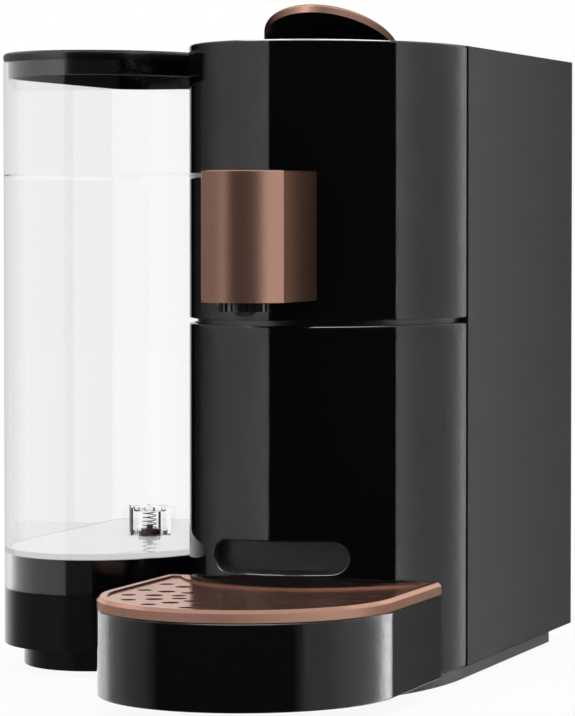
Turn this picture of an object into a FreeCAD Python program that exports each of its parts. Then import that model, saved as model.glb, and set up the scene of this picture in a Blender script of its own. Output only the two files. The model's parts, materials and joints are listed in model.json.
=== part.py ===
import FreeCAD, Part
import math
import os

# Single-serve coffee machine: a slim casing with a bowed front, a lift-off water tank on its
# left, a lever on top that opens the brew chamber, and a drawer that carries the drip tray.
# All sizes are in millimetres. X runs across, Y from the front (minus) to the back, Z is up.
# While it is drawn, X = 0 is the casing's middle, Y = 0 the joint between the front panels
# and the side panels, and the table lies just below Z = 0. The finished pieces are moved so that
# the origin is the middle of the whole machine's footprint on the table.

V = FreeCAD.Vector
UP = V(0, 0, 1)
BACK = V(0, 1, 0)
RIGHT = V(1, 0, 0)

# How far cutting shapes run past what they cut, and heights below and above everything
cut_over = 1.0
cut_far = 10.0
below = -10.0
sky = 400.0

# The table that the feet stand on
table = -2.0

# Casing
body_half_width = 65.5
nose_depth = 93.0
side_depth = 206.5
casing_top = 298.0
casing_bottom = 5.2
wall = 2.5
joint_gap = 3.4
seam_height = 168.0
seam_gap = 2.4
rim_round = 1.2
seat = 0.2
cover_recess = 3.1
cover_thickness = 3.0
deck_thickness = 3.0
deck_step = 0.6
strip_width = 2.1
strip_front = 4.0
strip_back = 6.0
strip_gap = 0.5
lip_height = 8.0
lip_thickness = 2.0
lip_gap = 1.5
bulkhead_front = 72.0
bulkhead_thickness = 2.5
vent_count = 9
vent_width = 56.0
vent_height = 3.0
vent_pitch = 7.0
vent_bottom = 176.0
cord_bore_radius = 3.75
cord_x = -36.0
cord_z = 26.0
cord_collar = 3.25

# Plinth and feet
plinth_inset = 2.8
plinth_front_depth = 120.0
plinth_back = 170.0
plinth_bottom = -1.0
plinth_gap = 0.4
base_thickness = 2.5
foot_radius = 8.0
foot_pocket = 2.0
foot_tread = 0.6
foot_front_x = 30.0
foot_back_x = 46.0
foot_front_y = -80.0
foot_back_y = 150.0

# Head that carries the coffee outlet
head_half_width = 19.3
head_corner_reach = 137.0
head_apex_reach = 149.0
head_bottom = 179.7
head_top = 238.2
head_wall = 2.0
head_core_recess = 1.5
head_edge_round = 0.6
nozzle_reach = 134.0
nozzle_ring_radius = 11.6
nozzle_ring_bottom = 175.7
nozzle_rib_count = 22
nozzle_rib_depth = 0.9
nozzle_rib_width = 1.5
nozzle_spout_radius = 5.2
nozzle_spout_bottom = 173.9
nozzle_bore_radius = 2.4
nozzle_bore_room = 1.0

# Drawer: lower front panel, carrier, capsule bin and drip tray
drawer_lift = 0.2
slide_gap = 0.4
grip_half_width = 32.3
grip_bottom = 55.2
grip_height = 14.7
grip_back_reach = 73.0
grip_wall = 2.0
bin_half_width = 50.5
bin_front_reach = 41.0
bin_back = 59.0
bin_top = 152.0
bin_wall = 1.8
bin_round = 8.0
carrier_gap = 0.5
carrier_thickness = 2.4
carrier_front_reach = 37.0
carrier_back = 66.0
carrier_floor_height = 14.0
carrier_side_top = 104.0
rail_bottom = 86.0
rail_height = 14.0
rail_groove_height = 6.0
rail_groove_depth = 3.0
rail_gap = 0.4

tray_half_width = 67.1
tray_reach = 201.2
tray_straight_reach = 127.7
tray_tip_reach = 49.7
tray_top = 44.1
tray_wall = 2.4
tray_floor = 2.5
tray_gap = 0.4
grid_height = 5.5
grid_chamfer = 1.6
grid_rim_width = 4.6
grid_recess = 0.9
grid_plate = 2.0
grid_lip_depth = 4.0
grid_lip_wall = 1.8
grid_centre_reach = 132.0
grid_hole_round = 1.0
grid_rings = ((6.0, 4, 3.0), (18.0, 10, 3.3), (30.5, 15, 3.4), (41.7, 15, 4.1), (53.5, 15, 3.5))
grid_ring_phase = -4.0
grid_side_limit = 70.0

# Brew chamber
chamber_height = 250.0
cup_radius = 24.0
cup_bore_radius = 19.5
cup_front = 8.0
cup_wall = 4.0
cup_back = 42.9
yoke_front = 6.0
yoke_bottom = 240.0
spout_half_width = 5.0
spout_depth = 7.0
spout_bottom = 214.0
spout_radius = 3.5
spout_bore_radius = 1.8
gasket_gap = 0.3
gasket_inner_radius = 19.6
gasket_outer_radius = 23.8
gasket_thickness = 2.0
injector_back = 51.0
injector_block_back = 59.0
injector_block_bottom = 228.0
injector_block_top = 266.0
injector_block_half_width = 30.5
needle_count = 3
needle_ring_radius = 10.0
needle_radius = 0.9
needle_length = 4.0
nipple_radius = 3.5
nipple_bore_radius = 1.5
nipple_length = 8.0
cheek_inner = 41.5
cheek_thickness = 3.0
cheek_front_reach = 34.0
cheek_back = 134.0
ledge_width = 4.0
ledge_height = 3.4
upper_ledge_back = 48.0
cheek_window_front = -10.0
cheek_window_back = 50.0
cheek_window_margin = 15.0
cheek_window_round = 10.0
chute_half_width = 21.0
chute_front = 13.0
chute_back = 42.5
chute_wall = 1.5
chute_clearance = 1.2
drop_margin = 1.5
trough_half_width = 8.0
trough_front_reach = 34.0
trough_back = 10.0
trough_bottom = 200.0
trough_top = 212.0
trough_wall = 1.5
trough_leg_radius = 2.5
trough_leg_inset = 6.0
channel_radius = 4.5
channel_bore_radius = 3.0
channel_start_reach = 31.0
channel_start_height = 205.0
channel_end_height = 190.0
channel_clearance = 0.5

# Lever, its shaft and the toothed drive of the capsule cup
pivot_y = 92.0
pivot_z = 287.0
lever_half_width = 31.8
lever_flat_top = 299.1
lever_bend_y = 2.7
lever_tip_reach = 39.1
lever_tip_length = 35.1
lever_thickness = 3.9
lever_bend_radius = 14.0
lever_bend_angle = 24.9
lever_slope_length = 44.0
lever_rear_overhang = 6.0
lever_inlay_depth = 1.4
lever_inlay_margin = 0.8
lever_edge_round = 1.0
lever_swing = 80.0
hub_radius = 9.8
hub_half_width = 26.0
well_half_width = 33.3
well_front_gap = 0.7
well_back_gap = 9.2
shaft_radius = 4.0
shaft_overhang = 1.5
running_gap = 0.05
bush_radius = 6.0
bush_flange_radius = 8.0
bush_flange = 1.2
gear_module = 2.0
gear_teeth = 22
gear_backlash = 0.5
gear_first_tooth = -1
gear_last_tooth = 5
gear_end_share = 0.32
gear_inner = 33.5
gear_thickness = 5.0
gear_hub_radius = 9.0
pressure_angle = 20.0
rack_bar_height = 7.0
rack_tail = 8.0

# Push buttons on the top cover
button_radius = 6.5
button_gap = 0.25
button_sink = 0.2
button_places = ((-19.0, -53.0), (0.0, -58.0), (19.0, -53.0))
button_names = ("power_button", "small_cup_button", "large_cup_button")
button_travel = 1.2
button_flange_radius = 7.7
button_flange = 1.5
button_flange_gap = 0.1
button_stem_radius = 2.4
button_stem_length = 4.0
button_dish = 0.5
switch_gap = 0.2
switch_size = 6.0
switch_height = 3.6
switch_plunger_radius = 1.7
board_thickness = 1.6
board_half_width = 34.0
board_front_reach = 68.0
board_back_reach = 44.0
board_post_radius = 2.5
board_post_inset = 4.0
board_hole_radius = 1.6

# Water tank, lid, valve and dock
tank_centre_x = -121.2
tank_half_width = 52.8
tank_front_y = 32.0
tank_front_depth = 76.9
tank_least_corner = 2.0
tank_back = 177.0
tank_corner = 18.0
lid_top = 296.8
lid_thickness = 4.2
lid_round = 1.6
lid_step = 1.0
lid_step_inset = 0.5
lid_skirt_depth = 7.5
lid_skirt_wall = 2.0
lid_scoop_radius = 13.0
lid_scoop_depth = 1.6
tank_wall = 2.2
tank_wall_above_mark = 1.9
fill_mark_height = 238.0
tank_rim_gap = 0.3
tank_floor_top = 57.1
tank_floor = 2.5
tank_skirt_bottom = 37.4
dock_bottom = 10.4
dock_foot_inset = 9.6
dock_wall = 2.6
dock_top_gap = 0.3
dock_floor_bottom = 0.2
pedestal_gap = 0.8
pedestal_top_gap = 0.5
bridge_front = 34.0
bridge_back = 150.0
bridge_bottom = 12.0
bridge_top = 33.0
dock_foot_front_y = 0.0
dock_foot_back_y = 140.0
dock_foot_spread = 24.0
valve_x = -122.5
valve_y = 80.0
valve_boss_radius = 11.0
valve_boss_bottom = 47.4
valve_bore_radius = 6.5
valve_seat_radius = 4.0
spigot_gap = 0.2
spigot_wall = 1.5
spigot_top = 51.9
spigot_pin_radius = 1.5
spigot_pin_gap = 0.3
poppet_radius = 5.6
poppet_height = 2.6
poppet_stem_radius = 1.6
poppet_stem_length = 5.0
poppet_fin_width = 1.0
poppet_fin_reach = 3.3
poppet_gap = 0.1
cage_radius = 13.4
cage_height = 14.0
cage_fin_count = 8
cage_fin_width = 1.4
cage_inner_radius = 7.4
cage_ring_height = 2.2
cage_boss_radius = 2.0
spring_radius = 3.2
spring_wire = 0.6
spring_turns = 4
spring_gap = 0.15
seal_width = 2.0

# Works behind the bulkhead and on the deck
block_half_width = 31.0
block_front = 70.0
block_back = 126.0
block_bottom = 186.0
block_top = 236.0
block_leg = 6.0
block_groove_count = 6
block_groove = 2.0
port_radius = 4.0
port_height = 4.0
port_setback = 12.0
fuse_radius = 4.0
fuse_length = 22.0
pump_x = -22.0
pump_height = 52.0
pump_front = 96.0
pump_coil_length = 46.0
pump_coil_size = 36.0
pump_barrel_radius = 11.0
pump_nose_length = 20.0
pump_tail_length = 26.0
pump_mount_thickness = 5.0
pump_mount_size = 30.0
meter_x = 28.0
meter_y = 100.0
meter_bottom = 44.0
meter_radius = 16.0
meter_height = 24.0
hose_radius = 3.5
hose_bore_radius = 2.0
pipe_radius = 2.2
hose_bend = 6.0
suction_riser_gap = 12.0
pump_hose_lead = 12.0
pump_hose_rise = 34.0
pressure_pipe_lead = 9.0
pressure_pipe_setback = 16.0
pressure_pipe_bend = 4.0
pressure_pipe_bow = 30.0
pressure_pipe_rise = 12.0
power_board_x = 56.0
power_board_front = 84.0
power_board_back = 196.0
power_board_bottom = 62.0
power_board_top = 158.0
screw_head_radius = 3.4
screw_shank_radius = 1.5
screw_head = 1.8
screw_length = 9.0
screw_x = 56.0
head_screw_x = 9.75
head_screw_z = 224.0
rear_screw_heights = (22.0, 282.0)

# Levels and places that follow from the sizes above
plinth_top = casing_bottom - plinth_gap
upper_bottom = seam_height + seam_gap
deck_bottom = upper_bottom + deck_step
base_top = plinth_top + base_thickness
rail_front = strip_back + rail_gap
deck_top = deck_bottom + deck_thickness
cover_top = casing_top - cover_recess
cover_bottom = cover_top - cover_thickness
drawer_bottom = casing_bottom + drawer_lift
grid_bottom = tray_top
grid_top = tray_top + grid_height
plate_top = grid_top - grid_recess
plate_bottom = plate_top - grid_plate
gear_pitch_radius = gear_module * gear_teeth / 2
rack_line = pivot_z - gear_pitch_radius
rack_root = rack_line - 1.25 * gear_module
bar_bottom = rack_root - rack_bar_height
gear_outer = gear_inner + gear_thickness
cup_travel = gear_pitch_radius * math.radians(lever_swing)
lever_under = lever_flat_top - lever_thickness
lever_outer_bend = lever_bend_radius + lever_thickness
lever_tip_start = lever_tip_length - lever_tip_reach
lid_bottom = lid_top - lid_thickness
tank_rim = lid_bottom - tank_rim_gap
pedestal_inset = tank_wall + pedestal_gap
pedestal_top = tank_floor_top - tank_floor - pedestal_top_gap
dock_top = tank_skirt_bottom - dock_top_gap
cage_bottom = tank_floor_top
tank_left = tank_centre_x - tank_half_width
tank_right = tank_centre_x + tank_half_width
foot_pocket_top = plinth_bottom + foot_pocket
dock_pocket_top = dock_floor_bottom + foot_pocket
boss_well_floor = valve_boss_bottom - pedestal_top_gap
boss_well_radius = valve_boss_radius + pedestal_gap
yoke_half_width = cheek_inner - ledge_width - seat

origin = V((tank_left + tray_half_width) / 2, (side_depth - tray_reach) / 2, table)


def box(x0, x1, y0, y1, z0, z1):
    """A box between two X, two Y and two Z values."""
    return Part.makeBox(x1 - x0, y1 - y0, z1 - z0, V(x0, y0, z0))


def rod(radius, start, end):
    """A round bar from one point to another."""
    run = end - start
    return Part.makeCylinder(radius, run.Length, start, run)


def pipe(radius, bore, start, end):
    """A round bar with a bore right through."""
    return rod(radius, start, end).cut(rod(bore, start, end))


def post(radius, x, y, z0, z1):
    """An upright round bar."""
    return Part.makeCylinder(radius, z1 - z0, V(x, y, z0), UP)


def ring(radius, bore, x, y, z0, z1):
    """An upright tube."""
    return post(radius, x, y, z0, z1).cut(post(bore, x, y, z0, z1))


def fuse_all(shapes):
    """One solid from several that touch or overlap."""
    whole = shapes[0]
    if len(shapes) > 1:
        whole = whole.fuse(shapes[1:])
    return whole.removeSplitter()


def mirrored(shape):
    """The same shape on the other side of the casing's middle."""
    return shape.mirror(V(0, 0, 0), RIGHT)


def front_arc(x, y, rx, ry, z):
    """Half an ellipse that bulges forward, from its left end to its right end."""
    centre = V(x, y, z)
    if abs(rx - ry) < 0.001:
        return Part.Arc(V(x - rx, y, z), V(x, y - ry, z), V(x + rx, y, z)).toShape()
    if ry > rx:
        curve = Part.Ellipse(V(x, y - ry, z), V(x + rx, y, z), centre)
        return Part.ArcOfEllipse(curve, -math.pi / 2, math.pi / 2).toShape()
    curve = Part.Ellipse(V(x + rx, y, z), V(x, y - ry, z), centre)
    return Part.ArcOfEllipse(curve, 0, math.pi).toShape()


def line(x0, y0, x1, y1, z):
    """A straight edge at one height."""
    return Part.makeLine(V(x0, y0, z), V(x1, y1, z))


def bowed_prism(x, y, half_width, depth, back, corner, z0, z1):
    """A prism whose plan is a bowed front, straight sides and a back with rounded corners."""
    left = x - half_width
    right = x + half_width
    edges = [front_arc(x, y, half_width, depth, z0)]
    if corner > 0:
        edges.append(line(right, y, right, back - corner, z0))
        slant = corner * (1 - math.sqrt(0.5))
        right_corner = Part.Arc(V(right, back - corner, z0), V(right - slant, back - slant, z0),
                                V(right - corner, back, z0))
        left_corner = Part.Arc(V(left + corner, back, z0), V(left + slant, back - slant, z0),
                               V(left, back - corner, z0))
        edges.append(right_corner.toShape())
        edges.append(line(right - corner, back, left + corner, back, z0))
        edges.append(left_corner.toShape())
        edges.append(line(left, back - corner, left, y, z0))
    else:
        edges.append(line(right, y, right, back, z0))
        edges.append(line(right, back, left, back, z0))
        edges.append(line(left, back, left, y, z0))
    wire = Part.Wire(Part.__sortEdges__(edges))
    return Part.Face(wire).extrude(V(0, 0, z1 - z0))


def casing_prism(inset, back, z0, z1):
    """The casing's plan, drawn in by an inset, from its bowed front to a given back."""
    return bowed_prism(0, 0, body_half_width - inset, nose_depth - inset, back, 0, z0, z1)


def ahead_of(y, z0, z1):
    """Everything in front of a plane, for cutting."""
    reach = tray_reach + cut_far
    return box(-reach, reach, -reach, y, z0, z1)


def tank_prism(inset, z0, z1):
    """The tank's plan, drawn in by an inset."""
    corner = max(tank_corner - inset, tank_least_corner)
    return bowed_prism(tank_centre_x, tank_front_y, tank_half_width - inset, tank_front_depth - inset,
                       tank_back - inset, corner, z0, z1)


def pill(half_width, height, x, y0, y1, z0):
    """A bar with a stadium section, lying along Y."""
    radius = height / 2
    flat = half_width - radius
    middle = z0 + radius
    core = box(x - flat, x + flat, y0, y1, z0, z0 + height)
    left = rod(radius, V(x - flat, y0, middle), V(x - flat, y1, middle))
    right = rod(radius, V(x + flat, y0, middle), V(x + flat, y1, middle))
    return fuse_all([core, left, right])


def rounded_box(x0, x1, y0, y1, z0, z1, radius):
    """A box with rounded upright edges."""
    body = box(x0, x1, y0, y1, z0, z1)
    upright = [e for e in body.Edges if abs(e.tangentAt(e.FirstParameter).z) > 0.9]
    return body.makeFillet(radius, upright)


def screw(tip, axis):
    """A pan head screw whose head's underside is at a point, with its shank along the axis."""
    shank = Part.makeCylinder(screw_shank_radius, screw_length, tip, axis)
    head = Part.makeCylinder(screw_head_radius, screw_head, tip - axis * screw_head, axis)
    slot_depth = screw_head / 2
    slot = Part.makeCylinder(screw_shank_radius, slot_depth, tip - axis * screw_head, axis)
    return fuse_all([shank, head]).cut(slot)


def top_edges(shape, height):
    """The edges of a shape that lie at a height."""
    return [e for e in shape.Edges
            if e.BoundBox.ZMin > height - 0.01 and e.BoundBox.ZMax < height + 0.01]


# Casing pieces


def upper_front_panel():
    """The glossy bowed shell above the seam, with a rounded upper rim and joint tongues."""
    outer = casing_prism(0, 10, upper_bottom, casing_top)
    outer = outer.common(ahead_of(-joint_gap / 2, below, sky))
    outer = outer.makeFillet(rim_round, [e for e in top_edges(outer, casing_top)
                                         if e.BoundBox.YMin < -joint_gap])
    inner = casing_prism(wall, 20, upper_bottom - cut_over, casing_top + cut_over)
    shell = outer.cut(inner)
    tongue_outer = body_half_width - wall - seat
    tongue = box(tongue_outer - wall, tongue_outer, -2 * wall, 3 * wall, deck_top + seat, cover_bottom - seat)
    bridge = box(tongue_outer - wall, tongue_outer + seat + wall / 2, -3 * wall, -joint_gap,
                 deck_top + seat, cover_bottom - seat)
    bridge = bridge.common(casing_prism(wall / 2, 10, below, sky))
    sides = [tongue, bridge, mirrored(tongue), mirrored(bridge)]
    shell = fuse_all([shell] + sides)
    shell = shell.cut(channel_bar(channel_radius + channel_clearance))
    for x in (-head_screw_x, head_screw_x):
        hole = rod(screw_shank_radius + seat, V(x, -nose_depth - 5, head_screw_z),
                   V(x, -nose_depth + 15, head_screw_z))
        shell = shell.cut(hole)
    return shell


def lower_front_panel():
    """The glossy bowed front of the drawer, with a sunken pill-shaped grip."""
    outer = casing_prism(0, 10, drawer_bottom, seam_height)
    outer = outer.common(ahead_of(-joint_gap / 2, below, sky))
    inner = casing_prism(wall, 20, drawer_bottom - cut_over, seam_height + 1)
    shell = outer.cut(inner)
    pocket = pill(grip_half_width + grip_wall, grip_height + 2 * grip_wall, 0, -nose_depth,
                  -grip_back_reach + grip_wall, grip_bottom - grip_wall)
    pocket = pocket.common(casing_prism(wall / 2, 10, below, sky))
    shell = fuse_all([shell, pocket])
    return shell.cut(pill(grip_half_width, grip_height, 0, -nose_depth - 5, -grip_back_reach, grip_bottom))


def side_panel():
    """The flat satin panel on the right-hand side, with a strip that backs its front joint."""
    panel = box(body_half_width - wall, body_half_width, joint_gap / 2, side_depth, casing_bottom, casing_top)
    outer_edges = [e for e in panel.Edges if e.BoundBox.XMin > body_half_width - 0.01]
    panel = panel.makeFillet(rim_round / 2, outer_edges)
    inner = body_half_width - wall
    strip_top = deck_bottom - lip_height - strip_gap
    strip = box(inner - strip_gap - strip_width, inner - strip_gap, -strip_front, strip_back,
                base_top, strip_top)
    bridge = box(inner - strip_gap - strip_width, inner, joint_gap, strip_back, base_top, strip_top)
    return fuse_all([panel, strip, bridge])


def left_side_panel():
    """The panel beside the tank, with the hole that the suction hose goes through."""
    hole = rod(hose_radius + 2 * seat, V(-body_half_width - 5, valve_y, hose_height()),
               V(-body_half_width + 10, valve_y, hose_height()))
    return mirrored(side_panel()).cut(hole)


def rear_panel():
    """The back of the casing, with vent slots, the cord inlet and screw holes."""
    half = body_half_width - wall - seat / 2
    panel = box(-half, half, side_depth - wall, side_depth, casing_bottom, casing_top)
    for step in range(vent_count):
        z = vent_bottom + step * vent_pitch
        slot = pill(vent_width / 2, vent_height, 0, side_depth - 2 * wall, side_depth + cut_over, z)
        panel = panel.cut(slot)
    inlet = rod(cord_bore_radius + cord_collar, V(cord_x, side_depth - 2 * wall, cord_z),
                V(cord_x, side_depth + cut_over, cord_z))
    panel = panel.cut(inlet)
    for x, z in rear_screw_places():
        panel = panel.cut(rod(screw_shank_radius + seat, V(x, side_depth - 2 * wall, z), V(x, side_depth, z)))
        panel = panel.cut(rod(screw_head_radius + seat, V(x, side_depth - screw_head, z),
                              V(x, side_depth + cut_over, z)))
    return panel


def rear_screw_places():
    """Where the screws of the rear panel sit."""
    return [(x, z) for x in (-screw_x, screw_x) for z in rear_screw_heights]


def cord_gland():
    """The bushing in the rear panel that the mains lead goes through."""
    outer = cord_bore_radius + cord_collar - seat / 2
    flange = outer + wall
    back = side_depth - wall
    body = rod(outer, V(cord_x, back, cord_z), V(cord_x, side_depth, cord_z))
    inner_flange = rod(flange, V(cord_x, back - wall, cord_z), V(cord_x, back, cord_z))
    bore = rod(cord_bore_radius, V(cord_x, back - 2 * wall, cord_z), V(cord_x, side_depth + cut_over, cord_z))
    return fuse_all([body, inner_flange]).cut(bore)


def rear_panel_screws():
    """The screws that hold the rear panel."""
    return [screw(V(x, side_depth - screw_head + seat / 2, z), V(0, -1, 0)) for x, z in rear_screw_places()]


def rear_screw_bosses():
    """Posts inside the back of the casing that take the rear screws."""
    posts = []
    outer = body_half_width - wall - seat
    for x, z in rear_screw_places():
        side = 1 if x > 0 else -1
        inner_x = x - side * (screw_head_radius + cut_over)
        low_x = min(inner_x, side * outer)
        high_x = max(inner_x, side * outer)
        block = box(low_x, high_x, side_depth - wall - seat - screw_length, side_depth - wall - seat,
                    z - screw_head_radius - cut_over, z + screw_head_radius + cut_over)
        hole = rod(screw_shank_radius + 0.05, V(x, side_depth - 20, z), V(x, side_depth, z))
        posts.append(block.cut(hole))
    return posts


def top_cover():
    """The recessed top, with holes for the buttons, the capsule and the lever's hub."""
    inset = wall + seat
    back = side_depth - wall - seat
    cover = casing_prism(inset, back, cover_bottom, cover_top)
    for x, y in button_places:
        hole_radius = button_radius + button_gap
        cover = cover.cut(post(hole_radius, x, y, cover_bottom - cut_over, cover_top + cut_over))
    mouth = rounded_box(-chute_half_width, chute_half_width, chute_front, chute_back,
                        cover_bottom - cut_over, cover_top + cut_over, 4.0)
    cover = cover.cut(mouth)
    well = box(-well_half_width, well_half_width, pivot_y - hub_radius - well_front_gap,
               pivot_y + hub_radius + well_back_gap, cover_bottom - cut_over, cover_top + cut_over)
    for side in (-1, 1):
        cover = cover.cut(gear_slot(side))
    return fuse_all([cover.cut(well)] + board_posts())


def gear_slot(side):
    """Room in the top cover for the hubs of the two gear sectors."""
    inner = side * (gear_inner - cut_over)
    outer = side * (gear_outer + 1)
    return box(min(inner, outer), max(inner, outer), pivot_y - hub_radius - well_front_gap,
               pivot_y + hub_radius + well_front_gap, cover_bottom - cut_over, cover_top + cut_over)


def capsule_chute():
    """The square funnel that guides a capsule from the top cover into the chamber."""
    z0 = chamber_height + cup_radius + chute_clearance
    outer = box(-chute_half_width - chute_wall, chute_half_width + chute_wall,
                chute_front - chute_wall, chute_back + chute_wall, z0, cover_bottom)
    return outer.cut(box(-chute_half_width, chute_half_width, chute_front, chute_back,
                         z0 - cut_over, cover_bottom + cut_over))


def middle_deck():
    """The deck over the drawer, with a lip behind the seam and the hole used capsules drop through."""
    inset = wall + seat
    back = side_depth - wall - seat
    deck = casing_prism(inset, back, deck_bottom, deck_top)
    lip_inset = wall + lip_gap
    lip_bottom = deck_bottom - lip_height
    lip = casing_prism(lip_inset, cut_far, lip_bottom, deck_bottom)
    lip = lip.cut(casing_prism(lip_inset + lip_thickness, 2 * cut_far, lip_bottom - cut_over, deck_bottom))
    lip = lip.common(ahead_of(3 * wall, below, sky))
    deck = fuse_all([deck, lip])
    drop = rounded_box(-chute_half_width - drop_margin, chute_half_width + drop_margin,
                       chute_front - drop_margin, chute_back + drop_margin,
                       deck_bottom - cut_over, deck_top + cut_over, 4.0)
    deck = deck.cut(drop)
    return deck.cut(post(pipe_radius + cut_over, pump_x, block_back + pressure_pipe_setback,
                         deck_bottom - cut_over, deck_top + cut_over))


def bulkhead():
    """The upright wall between the drawer's bay and the works behind it."""
    half = body_half_width - wall - seat
    return box(-half, half, bulkhead_front, bulkhead_front + bulkhead_thickness, base_top, deck_bottom)


def plinth():
    """The base, drawn in from the casing and longer in front, with pockets for the feet."""
    base = bowed_prism(0, 0, body_half_width - plinth_inset, plinth_front_depth, plinth_back, 0,
                       plinth_bottom, plinth_top)
    for x, y in plinth_foot_places():
        base = base.cut(post(foot_radius + seat / 2, x, y, below, foot_pocket_top))
    return base


def base_plate():
    """The casing's floor, from the drawer's front to the rear panel."""
    half = body_half_width - wall - seat
    return box(-half, half, strip_back + seat, side_depth - wall - seat, plinth_top, base_top)


def plinth_foot_places():
    """Where the plinth's feet stand."""
    front = [(x, foot_front_y) for x in (-foot_front_x, foot_front_x)]
    return front + [(x, foot_back_y) for x in (-foot_back_x, foot_back_x)]


def dock_foot_places():
    """Where the dock's feet stand."""
    return [(tank_centre_x + dx, y) for dx in (-dock_foot_spread, dock_foot_spread)
            for y in (dock_foot_front_y, dock_foot_back_y)]


def rubber_foot(x, y, top):
    """A round foot with a slightly smaller tread, from the table up to the top of its pocket."""
    pad = post(foot_radius, x, y, table + foot_tread, top)
    tread = Part.makeCone(foot_radius - foot_tread, foot_radius, foot_tread, V(x, y, table), UP)
    return fuse_all([pad, tread])


def drawer_rail():
    """The right-hand rail that the drawer runs in."""
    outer = body_half_width - wall - seat
    inner = outer - rail_groove_depth - wall
    rail = box(inner, outer, rail_front, bulkhead_front, rail_bottom, rail_bottom + rail_height)
    groove_bottom = rail_bottom + (rail_height - rail_groove_height) / 2
    groove = box(inner - cut_over, inner + rail_groove_depth, rail_front - 1, carrier_back + 2 * slide_gap,
                 groove_bottom, groove_bottom + rail_groove_height)
    return rail.cut(groove)


# Head


def head_prism(inset, z0, z1):
    """The head's plan: a strongly bowed front and straight sides that run back to the casing."""
    half = head_half_width - inset
    corner_y = -head_corner_reach + inset
    apex_y = -head_apex_reach + inset
    edges = [Part.Arc(V(-half, corner_y, z0), V(0, apex_y, z0), V(half, corner_y, z0)).toShape(),
             line(half, corner_y, half, 0, z0),
             line(half, 0, -half, 0, z0),
             line(-half, 0, -half, corner_y, z0)]
    face = Part.Face(Part.Wire(Part.__sortEdges__(edges)))
    return face.extrude(V(0, 0, z1 - z0)).cut(casing_prism(-seat, 10, z0 - cut_over, z1 + cut_over))


def head_sleeve():
    """The copper cover of the head: bowed front, sides and top."""
    outer = head_prism(0, head_bottom, head_top)
    rim = [e for e in top_edges(outer, head_top) if e.BoundBox.YMax < -nose_depth / 2
           and e.BoundBox.YMin < -nose_depth - 1]
    outer = outer.makeFillet(head_edge_round, rim)
    return outer.cut(head_prism(head_wall, head_bottom - cut_over, head_top - head_wall))


def head_screw_seat():
    """How far forward the head screws' heads sit, just clear of the shell's inner face."""
    share = (head_screw_x + screw_head_radius) / (body_half_width - wall)
    return (nose_depth - wall) * math.sqrt(1 - share ** 2) - seat


def head_screws():
    """The two screws that hold the head on the shell from inside."""
    return [screw(V(x, -head_screw_seat(), head_screw_z), V(0, -1, 0)) for x in (-head_screw_x, head_screw_x)]


def head_core():
    """The black inner block of the head, with the coffee's way down to the nozzle."""
    core = head_prism(head_wall + seat, head_bottom + head_core_recess, head_top - head_wall - seat)
    core = core.cut(channel_bar(channel_radius + channel_clearance))
    drop = post(nozzle_bore_radius + nozzle_bore_room, 0, -nozzle_reach, head_bottom,
                channel_end_height + channel_bore_radius)
    core = core.cut(drop)
    for x in (-head_screw_x, head_screw_x):
        tip = -head_screw_seat() - screw_length - 1
        core = core.cut(rod(screw_shank_radius + 0.05, V(x, tip, head_screw_z), V(x, 0, head_screw_z)))
    return core


def outlet_nozzle():
    """The ribbed ring under the head with the spout in its middle."""
    z1 = head_bottom + head_core_recess
    plain = nozzle_ring_radius - nozzle_rib_depth
    y = -nozzle_reach
    skirt = ring(plain, plain - 2.2, 0, y, nozzle_ring_bottom, z1)
    disc = post(plain, 0, y, z1 - 2.0, z1)
    spout = post(nozzle_spout_radius, 0, y, nozzle_spout_bottom + 1.5, z1)
    tip = Part.makeCone(nozzle_spout_radius - 1.6, nozzle_spout_radius, 1.5, V(0, y, nozzle_spout_bottom), UP)
    pieces = [skirt, disc, spout, tip]
    for index in range(nozzle_rib_count):
        rib = box(-nozzle_rib_width / 2, nozzle_rib_width / 2, -nozzle_ring_radius, -plain + 1,
                  nozzle_ring_bottom, z1)
        rib.rotate(V(0, 0, 0), UP, 360.0 * index / nozzle_rib_count)
        rib.translate(V(0, y, 0))
        pieces.append(rib)
    whole = fuse_all(pieces)
    return whole.cut(post(nozzle_bore_radius, 0, y, nozzle_spout_bottom - cut_over, z1 + cut_over))


def channel_bar(radius):
    """The slanting bar that the coffee channel follows from the trough to the nozzle."""
    start = V(0, -channel_start_reach, channel_start_height)
    end = V(0, -nozzle_reach, channel_end_height)
    return rod(radius, start, end)


def coffee_channel():
    """The trough under the capsule cup, its two legs and the tube that leads to the head."""
    outer = box(-trough_half_width, trough_half_width, -trough_front_reach, trough_back,
                trough_bottom, trough_top)
    inner = box(-trough_half_width + trough_wall, trough_half_width - trough_wall,
                -trough_front_reach + trough_wall, trough_back - trough_wall,
                trough_bottom + trough_wall, trough_top + cut_over)
    trough = outer.cut(inner)
    tube = channel_bar(channel_radius).cut(inner)
    places = (-trough_front_reach + trough_leg_inset, trough_back - trough_leg_inset)
    legs = [post(trough_leg_radius, 0, y, deck_top, trough_bottom + trough_wall) for y in places]
    return fuse_all([trough, tube] + legs).cut(channel_bar(channel_bore_radius))


# Drawer


def capsule_bin():
    """The open bin that used capsules drop into."""
    z0 = carrier_floor_height + carrier_thickness + slide_gap
    outer = rounded_box(-bin_half_width, bin_half_width, -bin_front_reach, bin_back, z0, bin_top, bin_round)
    inner = rounded_box(-bin_half_width + bin_wall, bin_half_width - bin_wall, -bin_front_reach + bin_wall,
                        bin_back - bin_wall, z0 + bin_wall, bin_top + cut_over, bin_round - bin_wall)
    return outer.cut(inner)


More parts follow.
